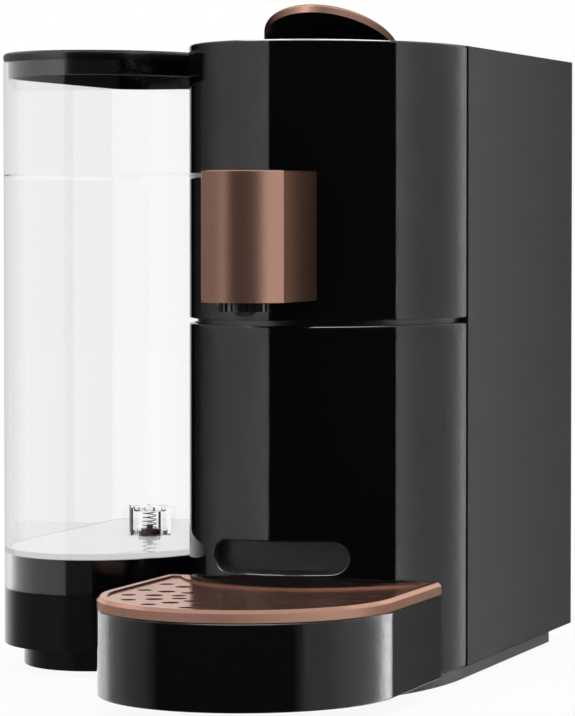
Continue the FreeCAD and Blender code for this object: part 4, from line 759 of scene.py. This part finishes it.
@dataclass
class Casing:
    """The glossy upper panel and the drawer's glossy front with its sunken grip."""

    outline: NoseOutline
    wall: float = 0.0025
    rim_round: float = 0.0012
    seam_round: float = 0.0009
    tongue_gap: float = 0.0002
    tongue_back: float = 0.0075
    tongue_drop: float = 0.0065
    grip_half_width: float = 0.0323
    grip_height: float = 0.0147
    grip_bottom: float = 0.0572
    grip_back: float = 0.073
    grip_lip: float = 0.0008
    pocket_gap: float = 0.0003
    pocket_wall: float = 0.00024
    pocket_start: float = 0.0012

    def build(self) -> None:
        """Makes both panels and the grip's pocket."""
        self._upper()
        self._lower()

    def _upper(self) -> None:
        """Replaces the upper front panel, with the joint tongues behind its edges."""
        low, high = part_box("upper_front_panel")
        profile = rounded_wall(self.wall, low[2], high[2], self.rim_round, self.seam_round / 2)
        skin = Skin()
        skin.strip(self.outline, profile)
        skin.ends(self.outline, profile)
        reach = self.outline.half_width - self.wall - self.tongue_gap
        joint = self.outline.y - self.outline.half_gap
        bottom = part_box("middle_deck")[1][2] + self.tongue_gap
        top = high[2] - self.tongue_drop
        for way in (-1, 1):
            xs = sorted((self.outline.x + way * reach, self.outline.x + way * (reach - self.wall)))
            skin.block((xs[0], joint - 2 * self.wall, bottom), (xs[1], self.outline.y + self.tongue_back, top))
        thing = skin.piece("gloss_upper_panel")
        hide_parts("upper_front_panel")
        place(thing, "machine", SHELL)

    def _lower(self) -> None:
        """Replaces the lower front panel with a pierced panel and a separate pocket."""
        low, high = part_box("lower_front_panel")
        radius = self.grip_height / 2
        pill = Pill(self.outline.x, self.grip_bottom + radius, self.grip_half_width, radius)
        mouth = pill.grown(self.grip_lip)
        shares = sorted(set(self.outline.shares)
                        | {self.outline.share_of(x, 0.0) for x in mouth.columns()}
                        | {self.outline.share_of(x, self.wall) for x in pill.columns()})
        outline = replace(self.outline, shares=tuple(shares))
        profile = rounded_wall(self.wall, low[2], high[2], self.seam_round, self.seam_round)
        outer, top_edge, top, inner, bottom, bottom_edge = profile
        skin = Skin()
        skin.strip(outline, [top_edge, top, bottom, bottom_edge])
        skin.ends(outline, profile)
        self._pierced(skin, outline, 0.0, outer, mouth)
        self._pierced(skin, outline, self.wall, inner, pill)
        xs = [edge.x for edge in outline.runs(0.0)[0]]
        self._lip(skin, mouth.ring(xs), radius, outline)
        thing = skin.piece("gloss_lower_panel")
        pocket = self._pocket(pill.grown(-self.pocket_gap), outline)
        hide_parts("lower_front_panel")
        place(thing, "drawer", SHELL)
        # The pocket's finish carries painted fill light, lighter than the rest of the black plastic.
        place(pocket, "drawer", POCKET_PAINTED_FILL)

    def _pierced(self, skin: Skin, outline: NoseOutline, inset: float, wall: list[Spot], pill: Pill) -> None:
        """Adds a wall of the lower panel with the pill left open.

        Args:
            skin: The mesh to add to.
            outline: The panel's outline.
            inset: How far inside the outline the wall stands.
            wall: The wall's two spots; a downward one is an inner wall.
            pill: The opening.
        """
        run = outline.runs(inset)[0]
        low, high = sorted((wall[0].height, wall[1].height))
        out = wall[0].out
        columns = []
        for edge in run:
            halves = pill.halves(edge.x)
            gap = [pill.middle, pill.middle]
            if halves is not None:
                gap = [centre[2] + pill.radius * way[2] for centre, way in halves]
            columns.append((edge, [low, gap[0], gap[1], high]))
        for (left, left_levels), (right, right_levels) in zip(columns, columns[1:]):
            for start in (0, 2):
                points = [(left.x, left.y, left_levels[start]), (right.x, right.y, right_levels[start]),
                          (right.x, right.y, right_levels[start + 1]), (left.x, left.y, left_levels[start + 1])]
                facing = [(e.face_x * out, e.face_y * out, 0.0) for e in (left, right, right, left)]
                if out < 0:
                    points.reverse()
                    facing.reverse()
                skin.face(points, facing)

    @staticmethod
    def _level(rim: Rim, radius: float, outline: NoseOutline, inset: float, deeper: float) -> Point:
        """A point of a pill's edge on the front's surface, or a little behind it.

        Args:
            rim: The centre of the pill's curve and the way it faces.
            radius: The curve's radius.
            outline: The panel's outline.
            inset: How far inside the outline the surface is drawn.
            deeper: How far behind that surface the point lies.

        Returns:
            The point.
        """
        centre, way = rim
        x, z = centre[0] + radius * way[0], centre[2] + radius * way[2]
        return x, outline.surface_y(x, inset) + deeper, z

    @staticmethod
    def _turned(front: Point, way: Point, turn: float) -> Point:
        """The way a rounded edge faces between the front's surface and the hole's wall."""
        mixed = Vector(front) * math.cos(turn) - Vector(way) * math.sin(turn)
        return tuple(mixed.normalized())

    @staticmethod
    def _band(skin: Skin, near: list[Point], far: list[Point], near_facing: list[Point],
              far_facing: list[Point]) -> None:
        """Joins two closed rings that run anticlockwise seen from the front.

        Args:
            skin: The mesh to add to.
            near: The ring that comes first.
            far: The ring that it is joined to.
            near_facing: The surface's direction along the first ring.
            far_facing: The surface's direction along the other.
        """
        count = len(near)
        for index in range(count):
            after = (index + 1) % count
            skin.face([near[index], near[after], far[after], far[index]],
                      [near_facing[index], near_facing[after], far_facing[after], far_facing[index]])

    def _lip(self, skin: Skin, ring: list[Rim], radius: float, outline: NoseOutline) -> None:
        """Adds the round lip of the opening and the hole through the wall behind it.

        Args:
            skin: The mesh to add to.
            ring: The mouth's outline.
            radius: The hole's end radius.
            outline: The panel's outline.
        """
        levels = []
        for turn in spread(0.0, math.pi / 2, ROUND_STEPS):
            share, depth = 1 - math.sin(turn), self.grip_lip * (1 - math.cos(turn))
            points = [self._level(rim, radius + self.grip_lip * share, outline, 0.0, depth) for rim in ring]
            facing = [self._turned(outline.facing(point[0]), rim[1], turn) for point, rim in zip(points, ring)]
            levels.append((points, facing))
        for (near, near_facing), (far, far_facing) in zip(levels, levels[1:]):
            self._band(skin, near, far, near_facing, far_facing)
        inner = [self._level(rim, radius, outline, self.wall, 0.0) for rim in ring]
        inward = [(-way[0], 0.0, -way[2]) for _, way in ring]
        self._band(skin, levels[-1][0], inner, inward, inward)

    def _pocket(self, pill: Pill, outline: NoseOutline) -> bpy.types.Object:
        """Makes the pocket behind the opening: its inside, its floor and its outside.

        Args:
            pill: The outline of its inside.
            outline: The panel's outline.

        Returns:
            The pocket's object.
        """
        xs = sorted(pill.columns() + spread(pill.x - pill.half_width, pill.x + pill.half_width, BOW_STEPS))
        ring = pill.ring(xs)
        back = outline.y - self.grip_back
        inward = [(-way[0], 0.0, -way[2]) for _, way in ring]
        outward = [way for _, way in ring]
        front = [self._level(rim, pill.radius, outline, 0.0, self.pocket_start) for rim in ring]
        shell = [self._level(rim, pill.radius + self.pocket_wall, outline, 0.0, self.pocket_start)
                 for rim in ring]
        floor = [(point[0], back, point[2]) for point in front]
        bottom = [(point[0], back + self.pocket_wall, point[2]) for point in shell]
        edge = [(0.0, -1.0, 0.0)] * len(ring)
        skin = Skin()
        self._band(skin, shell, front, edge, edge)
        self._band(skin, front, floor, inward, inward)
        skin.face(floor, [(0.0, -1.0, 0.0)])
        self._band(skin, bottom, shell, outward, outward)
        skin.face(bottom[::-1], [(0.0, 1.0, 0.0)])
        return skin.piece("grip_pocket")


@dataclass
class Drawer:
    """The glossy drip tray under the grid."""

    outline: TrayOutline
    wall: float = 0.0024
    floor: float = 0.0025
    rim_round: float = 0.0014
    foot_round: float = 0.0008

    def build(self) -> None:
        """Replaces the drip tray with a basin whose edges are rounded."""
        low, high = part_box("drip_tray")
        bottom, top = low[2], high[2]
        profile = [
            rounding(self.foot_round, bottom + self.foot_round, self.foot_round, -90.0, 0.0),
            straight((0.0, bottom + self.foot_round), (0.0, top - self.rim_round)),
            rounding(self.rim_round, top - self.rim_round, self.rim_round, 0.0, 90.0),
            straight((self.rim_round, top), (self.wall, top)),
            straight((self.wall, top), (self.wall, bottom + self.floor)),
        ]
        skin = Skin()
        skin.strip(self.outline, profile)
        skin.lid(self.outline, self.wall, bottom + self.floor, 1.0)
        skin.lid(self.outline, self.foot_round, bottom, -1.0)
        thing = skin.piece("gloss_drip_tray")
        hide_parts("drip_tray")
        place(thing, "drawer", TRAY)


@dataclass
class Tank:
    """The moulded line that marks how far the tank is filled."""

    outline: TankOutline
    mark_height: float = 0.240
    wall: float = 0.0022
    ridge: float = 0.0005
    ridge_height: float = 0.0013

    def build(self) -> None:
        """Makes the ridge inside the wall."""
        half = self.ridge_height / 2
        low, high = self.mark_height - half, self.mark_height + half
        near, far = self.wall - self.ridge / 2, self.wall + self.ridge
        skin = Skin()
        skin.strip(self.outline, [straight((near, low), (near, high)), straight((near, high), (far, high)),
                                  straight((far, high), (far, low)), straight((far, low), (near, low))])
        place(skin.piece("fill_mark"), "tank", CLEAR)


@dataclass
class Symbols:
    """Raised signs on the buttons: a ring and bar for power, a small and a large ring for the servings."""

    relief: float = 0.00015
    line: float = 0.0005
    small: float = 0.0016
    large: float = 0.0026
    bar: float = 0.0014
    sink: float = 0.0006

    def build(self) -> None:
        """Makes the three signs."""
        self._sign("power_button", self.large, True)
        self._sign("small_cup_button", self.small, False)
        self._sign("large_cup_button", self.large, False)

    def _sign(self, button: str, radius: float, barred: bool) -> None:
        """Makes the sign of one button.

        Args:
            button: The button's node and body.
            radius: The ring's outer radius.
            barred: Whether a bar stands inside the ring.
        """
        low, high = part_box(button)
        x, y = (low[0] + high[0]) / 2, (low[1] + high[1]) / 2
        base, top = high[2] - self.sink, high[2] - self.sink + self.relief
        skin = Skin()
        profile = [straight((0.0, base), (0.0, top)), straight((0.0, top), (self.line, top)),
                   straight((self.line, top), (self.line, base)), straight((self.line, base), (0.0, base))]
        skin.strip(RoundOutline(x, y, radius), profile)
        if barred:
            half = self.line / 2
            skin.block((x - half, y - self.bar / 2, base), (x + half, y + self.bar / 2, top))
        place(skin.piece(button + "_sign"), button, WORKS)


@dataclass(frozen=True)
class Ring:
    """A round wall of light for some pieces.

    Args:
        name: Its name.
        pieces: The pieces that it lights; none means all that no other ring lights.
        stops: Brightness against azimuth in degrees, 0 towards the front and 90 to the right.
    """

    name: str
    pieces: tuple[str, ...]
    stops: tuple[Stop, ...]


RINGS = (
    Ring("casing_ring", (), (
        (-180, 0.0), (-172, 0.0), (-166, 0.8), (-150, 0.8), (-143, 0.0), (-136, 0.0), (-122, 0.05), (-104, 0.33),
        (-88, 0.82), (-74, 1.25), (-60, 1.46), (-35, 2.05),
        (-22.6, 2.4), (-22.4, 0.0), (97.2, 0.0), (97.4, 2.4), (112, 1.24), (126, 0.81), (134, 0.65), (143, 0.62),
        (149, 0.72), (155, 1.05), (160, 0.95), (161.5, 0.45), (165, 0.08), (180, 0.02))),
    Ring("tray_ring", ("gloss_drip_tray",), (
        (-180, 1.2), (-140, 1.35), (-118, 2.0), (-108, 0.85), (-84, 0.55), (-63, 0.42), (-50, 0.0), (58, 0.0),
        (64, 0.3), (68, 0.75), (82, 0.72), (99, 1.0), (119, 1.1), (130, 1.35), (136, 2.2), (141, 3.7), (148, 4.4),
        (155, 3.3), (159, 0.5), (160.5, 0.12), (180, 0.1))),
    Ring("head_ring", ("head_sleeve",), (
        (-180, 0.3), (-130, 0.38), (-108, 0.4), (-78, 0.36), (-61, 0.42), (-48, 0.55), (-40, 0.5), (-30, 0.26),
        (-21, 0.11), (-8, 0.06), (8, 0.06), (24, 0.11), (36, 0.2), (48, 0.55), (62, 0.95), (110, 0.95), (130, 0.8),
        (145, 0.6), (156, 1.0), (180, 1.1))),
    Ring("grid_ring", ("drip_grid",), (
        (-180, 0.35), (-130, 0.5), (-84, 0.42), (-61, 0.44), (-33, 0.5), (-15, 0.42), (10, 0.42), (50, 0.7),
        (90, 0.95), (115, 0.85), (130, 0.5), (150, 0.42), (180, 0.45))),
    Ring("lever_ring", ("lever_handle",), (
        (-180, 0.02), (-115, 0.03), (-102, 0.17), (-80, 0.32), (-55, 0.6), (-40, 1.0), (-24, 1.9), (-12, 0.9),
        (5, 0.46), (45, 0.65), (92, 0.5), (112, 0.32), (180, 0.1))),
    Ring("tank_ring", ("water_tank", "fill_mark"), (
        (-180, 0.62), (-130, 0.6), (-100, 0.8), (-40, 1.1), (-18.2, 1.1), (-17.8, 0.1), (60, 0.1), (75, 0.6),
        (180, 0.5))),
    Ring("lid_ring", ("tank_lid",), (
        (-180, 0.3), (-130, 0.25), (-100, 0.4), (-75, 0.75), (-36, 1.6), (-18.2, 1.6), (-17.8, 0.0), (63.8, 0.0),
        (64.2, 1.6), (84, 1.6), (86, 0.2), (180, 0.2))),
    Ring("dock_ring", ("tank_dock", "dock_foot"), (
        (-180, 1.2), (-130, 1.1), (-110, 0.35), (-75, 0.28), (-36, 0.5), (-18.2, 0.4), (-17.8, 0.2), (63.8, 0.3),
        (64.2, 0.8), (84, 0.8), (86, 0.2), (180, 0.2))),
)
CARD_PIECES = ("drip_grid",)
ROOF_PIECES = ("gloss_upper_panel", "gloss_lower_panel", "gloss_drip_tray", "right_side_panel", "left_side_panel")


@dataclass(frozen=True)
class Studio:
    """The floor, the world, the lamps that only glossy surfaces see, and the camera."""

    rings: tuple[Ring, ...] = RINGS
    card_pieces: tuple[str, ...] = CARD_PIECES
    roof_pieces: tuple[str, ...] = ROOF_PIECES

    def build(self) -> None:
        """Makes the whole studio."""
        self._floor()
        self._world()
        claimed = tuple(name for ring in self.rings for name in ring.pieces)
        for index, ring in enumerate(self.rings):
            radius = RING_RADIUS * (1 - RING_STEP * index)
            lamp = self._lamp(ring.name, radius, FULL_TURN, RING_LEVELS, self._pattern(ring.name, ring.stops))
            if ring.pieces:
                self._link(lamp, ring.pieces, Reach.ONLY)
            else:
                self._link(lamp, claimed, Reach.ALL_BUT)
        card = self._lamp("back_card", RING_RADIUS * CARD_SHARE, CARD_TURNS, CARD_LEVELS,
                          self._plain("back_card", CARD_LIGHT))
        self._link(card, self.card_pieces, Reach.ONLY)
        self._link(self._roof(), self.roof_pieces, Reach.ONLY)
        self._camera()

    @staticmethod
    def _floor() -> None:
        """A pale floor that catches the machine's shadow."""
        mesh = bpy.data.meshes.new("floor")
        square = [(x * FLOOR_HALF, y * FLOOR_HALF, 0.0) for x, y in ((-1, -1), (1, -1), (1, 1), (-1, 1))]
        mesh.from_pydata(square, [], [(0, 1, 2, 3)])
        floor = bpy.data.objects.new("floor", mesh)
        bpy.context.scene.collection.objects.link(floor)
        made = bpy.data.materials.new("floor")
        made.use_nodes = True
        tree = made.node_tree
        shader = tree.nodes["Principled BSDF"]
        shader.inputs["Base Color"].default_value = (*FLOOR_COLOUR, 1.0)
        shader.inputs["Roughness"].default_value = 1.0
        shader.inputs["Specular IOR Level"].default_value = 0.0
        path = tree.nodes.new("ShaderNodeLightPath")
        share = tree.nodes.new("ShaderNodeMath")
        share.operation = "MULTIPLY"
        share.inputs[1].default_value = FLOOR_GLOW
        white = tree.nodes.new("ShaderNodeEmission")
        mix = tree.nodes.new("ShaderNodeMixShader")
        tree.links.new(path.outputs["Is Camera Ray"], share.inputs[0])
        tree.links.new(share.outputs["Value"], mix.inputs["Fac"])
        tree.links.new(shader.outputs["BSDF"], mix.inputs[1])
        tree.links.new(white.outputs["Emission"], mix.inputs[2])
        tree.links.new(mix.outputs["Shader"], tree.nodes["Material Output"].inputs["Surface"])
        mesh.materials.append(made)
        floor.visible_glossy = False

    @staticmethod
    def _world() -> None:
        """White for the camera and for diffuse light, and a soft ceiling for glossy surfaces."""
        world = bpy.data.worlds.new("studio")
        world.use_nodes = True
        bpy.context.scene.world = world
        tree = world.node_tree
        tree.nodes.clear()
        out = tree.nodes.new("ShaderNodeOutputWorld")
        path = tree.nodes.new("ShaderNodeLightPath")
        coords = tree.nodes.new("ShaderNodeTexCoord")
        split = tree.nodes.new("ShaderNodeSeparateXYZ")
        ramp = tree.nodes.new("ShaderNodeMapRange")
        ramp.inputs["From Min"].default_value = CEILING_START
        ramp.inputs["From Max"].default_value = CEILING_FULL
        ceiling = tree.nodes.new("ShaderNodeBackground")
        plain = tree.nodes.new("ShaderNodeBackground")
        plain.inputs["Strength"].default_value = FILL_LIGHT
        white = tree.nodes.new("ShaderNodeBackground")
        choose = tree.nodes.new("ShaderNodeMixShader")
        seen = tree.nodes.new("ShaderNodeMixShader")
        for shade in (plain, white):
            shade.inputs["Color"].default_value = (1.0, 1.0, 1.0, 1.0)
        clear = tree.nodes.new("ShaderNodeMath")
        clear.operation = "MAXIMUM"
        link = tree.links.new
        link(coords.outputs["Generated"], split.inputs["Vector"])
        link(split.outputs["Z"], ramp.inputs["Value"])
        link(ramp.outputs["Result"], ceiling.inputs["Color"])
        link(path.outputs["Is Glossy Ray"], choose.inputs["Fac"])
        link(plain.outputs["Background"], choose.inputs[1])
        link(ceiling.outputs["Background"], choose.inputs[2])
        link(path.outputs["Is Camera Ray"], clear.inputs[0])
        link(path.outputs["Is Transmission Ray"], clear.inputs[1])
        link(clear.outputs["Value"], seen.inputs["Fac"])
        link(choose.outputs["Shader"], seen.inputs[1])
        link(white.outputs["Background"], seen.inputs[2])
        link(seen.outputs["Shader"], out.inputs["Surface"])

    def _lamp(self, name: str, radius: float, turns: tuple[float, float], levels: tuple[float, float],
              glow: bpy.types.Material) -> bpy.types.Object:
        """Makes a round wall of light that only glossy rays see.

        Args:
            name: Its name.
            radius: Its radius about the machine.
            turns: The azimuths in degrees where it starts and ends.
            levels: Heights of its lower and upper edges.
            glow: Its material.

        Returns:
            The wall.
        """
        verts = [(radius * math.sin(turn), -radius * math.cos(turn), z) for z in levels
                 for turn in spread(math.radians(turns[0]), math.radians(turns[1]), RING_SIDES)]
        row = RING_SIDES + 1
        faces = [(a, a + 1, row + a + 1, row + a) for a in range(RING_SIDES)]
        return self._only_glossy(name, verts, faces, glow)

    def _roof(self) -> bpy.types.Object:
        """Makes the bright ring overhead that draws a thin line along the rounded rims.

        Returns:
            The ring.
        """
        verts = [(radius * math.cos(turn), radius * math.sin(turn), ROOF_HEIGHT)
                 for radius in (ROOF_INNER, ROOF_OUTER)
                 for turn in spread(0.0, 2 * math.pi * (1 - 1 / RING_SIDES), RING_SIDES - 1)]
        faces = [(a, (a + 1) % RING_SIDES, RING_SIDES + (a + 1) % RING_SIDES, RING_SIDES + a)
                 for a in range(RING_SIDES)]
        return self._only_glossy("roof", verts, faces, self._plain("roof", ROOF_LIGHT))

    @staticmethod
    def _only_glossy(name: str, verts: list[Point], faces: list[tuple[int, ...]],
                     glow: bpy.types.Material) -> bpy.types.Object:
        """Makes a lamp from a mesh and leaves it to glossy reflections alone.

        Args:
            name: The lamp's name.
            verts: The mesh's points.
            faces: The mesh's faces.
            glow: The lamp's material.

        Returns:
            The lamp.
        """
        mesh = bpy.data.meshes.new(name)
        mesh.from_pydata(verts, [], faces)
        mesh.materials.append(glow)
        lamp = bpy.data.objects.new(name, mesh)
        bpy.context.scene.collection.objects.link(lamp)
        for way in ("camera", "diffuse", "transmission", "shadow", "volume_scatter"):
            setattr(lamp, "visible_" + way, False)
        return lamp

    @staticmethod
    def _see_through(name: str) -> tuple[bpy.types.Material, bpy.types.Node]:
        """Makes a glow that adds to what stands behind it.

        Args:
            name: The material's name.

        Returns:
            The material and its emission node.
        """
        made = bpy.data.materials.new(name)
        made.use_nodes = True
        tree = made.node_tree
        tree.nodes.clear()
        glow = tree.nodes.new("ShaderNodeEmission")
        through = tree.nodes.new("ShaderNodeBsdfTransparent")
        add = tree.nodes.new("ShaderNodeAddShader")
        out = tree.nodes.new("ShaderNodeOutputMaterial")
        tree.links.new(glow.outputs["Emission"], add.inputs[0])
        tree.links.new(through.outputs["BSDF"], add.inputs[1])
        tree.links.new(add.outputs["Shader"], out.inputs["Surface"])
        return made, glow

    def _plain(self, name: str, light: float) -> bpy.types.Material:
        """Makes a glow of one brightness.

        Args:
            name: The material's name.
            light: Its brightness.

        Returns:
            The material.
        """
        made, glow = self._see_through(name)
        glow.inputs["Strength"].default_value = light
        return made

    def _pattern(self, name: str, stops: tuple[Stop, ...]) -> bpy.types.Material:
        """Makes a glow whose brightness follows the azimuth.

        Args:
            name: The material's name.
            stops: Brightness against azimuth in degrees.

        Returns:
            The material.
        """
        made, glow = self._see_through(name)
        tree = made.node_tree
        link = tree.links.new
        coords = tree.nodes.new("ShaderNodeTexCoord")
        parts = tree.nodes.new("ShaderNodeSeparateXYZ")
        flip = tree.nodes.new("ShaderNodeMath")
        flip.operation = "MULTIPLY"
        flip.inputs[1].default_value = -1.0
        turn = tree.nodes.new("ShaderNodeMath")
        turn.operation = "ARCTAN2"
        share = tree.nodes.new("ShaderNodeMapRange")
        share.inputs["From Min"].default_value = -math.pi
        share.inputs["From Max"].default_value = math.pi
        ramp = self._ramp(tree, stops)
        link(coords.outputs["Object"], parts.inputs["Vector"])
        link(parts.outputs["Y"], flip.inputs[0])
        link(parts.outputs["X"], turn.inputs[0])
        link(flip.outputs["Value"], turn.inputs[1])
        link(turn.outputs["Value"], share.inputs["Value"])
        link(share.outputs["Result"], ramp.inputs["Fac"])
        link(ramp.outputs["Color"], glow.inputs["Color"])
        return made

    @staticmethod
    def _ramp(tree: bpy.types.NodeTree, stops: tuple[Stop, ...]) -> bpy.types.Node:
        """Makes a ramp of greys.

        Args:
            tree: The nodes to add it to.
            stops: Brightness against azimuth in degrees.

        Returns:
            The ramp's node.
        """
        node = tree.nodes.new("ShaderNodeValToRGB")
        points = node.color_ramp.elements
        for _ in range(len(stops) - len(points)):
            points.new(0.5)
        start, end = FULL_TURN
        for point, (degrees, light) in zip(points, stops):
            point.position = (degrees - start) / (end - start)
            point.color = (light, light, light, 1.0)
        return node

    @staticmethod
    def _link(lamp: bpy.types.Object, names: tuple[str, ...], reach: Reach) -> None:
        """Limits a lamp to some pieces, or to all but them.

        Args:
            lamp: The lamp.
            names: The pieces.
            reach: Whether it lights only them or all but them.
        """
        chosen = bpy.data.collections.new(lamp.name + "_receivers")
        for name in names:
            chosen.objects.link(bpy.data.objects[name])
        for entry in chosen.collection_objects:
            entry.light_linking.link_state = reach.value
        lamp.light_linking.receiver_collection = chosen

    @staticmethod
    def _camera() -> None:
        """Sets the camera at the photograph's place."""
        data = bpy.data.cameras.new("camera")
        data.sensor_fit = "VERTICAL"
        data.sensor_width = CAMERA_SENSOR
        data.sensor_height = CAMERA_SENSOR
        data.lens = CAMERA_LENS
        data.clip_start = CAMERA_NEAR
        data.clip_end = CAMERA_FAR
        camera = bpy.data.objects.new("camera", data)
        camera.location = CAMERA_PLACE
        camera.rotation_euler = (CAMERA_TILT, 0.0, CAMERA_TURN)
        bpy.context.scene.collection.objects.link(camera)
        bpy.context.scene.camera = camera


def sub_assemblies() -> list[Casing | Drawer | Tank | Symbols]:
    """The groups of fine pieces, placed from the frame's boxes.

    Returns:
        The groups, in the order in which they are built.
    """
    side_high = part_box("right_side_panel")[1]
    left_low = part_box("left_side_panel")[0]
    nose_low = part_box("upper_front_panel")[0]
    tray_low, tray_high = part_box("drip_tray")
    tank_low, tank_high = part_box("water_tank")
    middle = (side_high[0] + left_low[0]) / 2
    nose_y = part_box("rear_panel")[1][1] - SIDE_DEPTH
    nose = NoseOutline(middle, nose_y, side_high[0] - middle, nose_y - nose_low[1], HALF_JOINT,
                       tuple(spread(0.0, 1.0, BOW_STEPS)))
    tray_y = nose_y - TRAY_STRAIGHT
    tray = TrayOutline(nose, tray_high[0] - middle, tray_y, tray_y - tray_low[1], tray_high[1], TRAY_GAP)
    tank_x, tank_y = (tank_low[0] + tank_high[0]) / 2, nose_y + TANK_FRONT
    tank = TankOutline(tank_x, tank_y, tank_high[0] - tank_x, tank_y - tank_low[1], tank_high[1], TANK_CORNER)
    return [Casing(nose), Drawer(tray), Tank(tank), Symbols()]


def main() -> None:
    """Dresses the frame, builds the studio and sets the view transform."""
    logging.basicConfig(level=logging.INFO, format="%(name)s: %(message)s")
    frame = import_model()
    slots = {part["node"]: part["material_slot"] for part in frame["record"]["subparts"]}
    for group in (Solids(frame["nodes"], slots), *sub_assemblies(), Studio()):
        LOG.info("building %s", type(group).__name__)
        group.build()
    bpy.context.scene.view_settings.view_transform = "Standard"


if __name__ == "__main__":
    main()
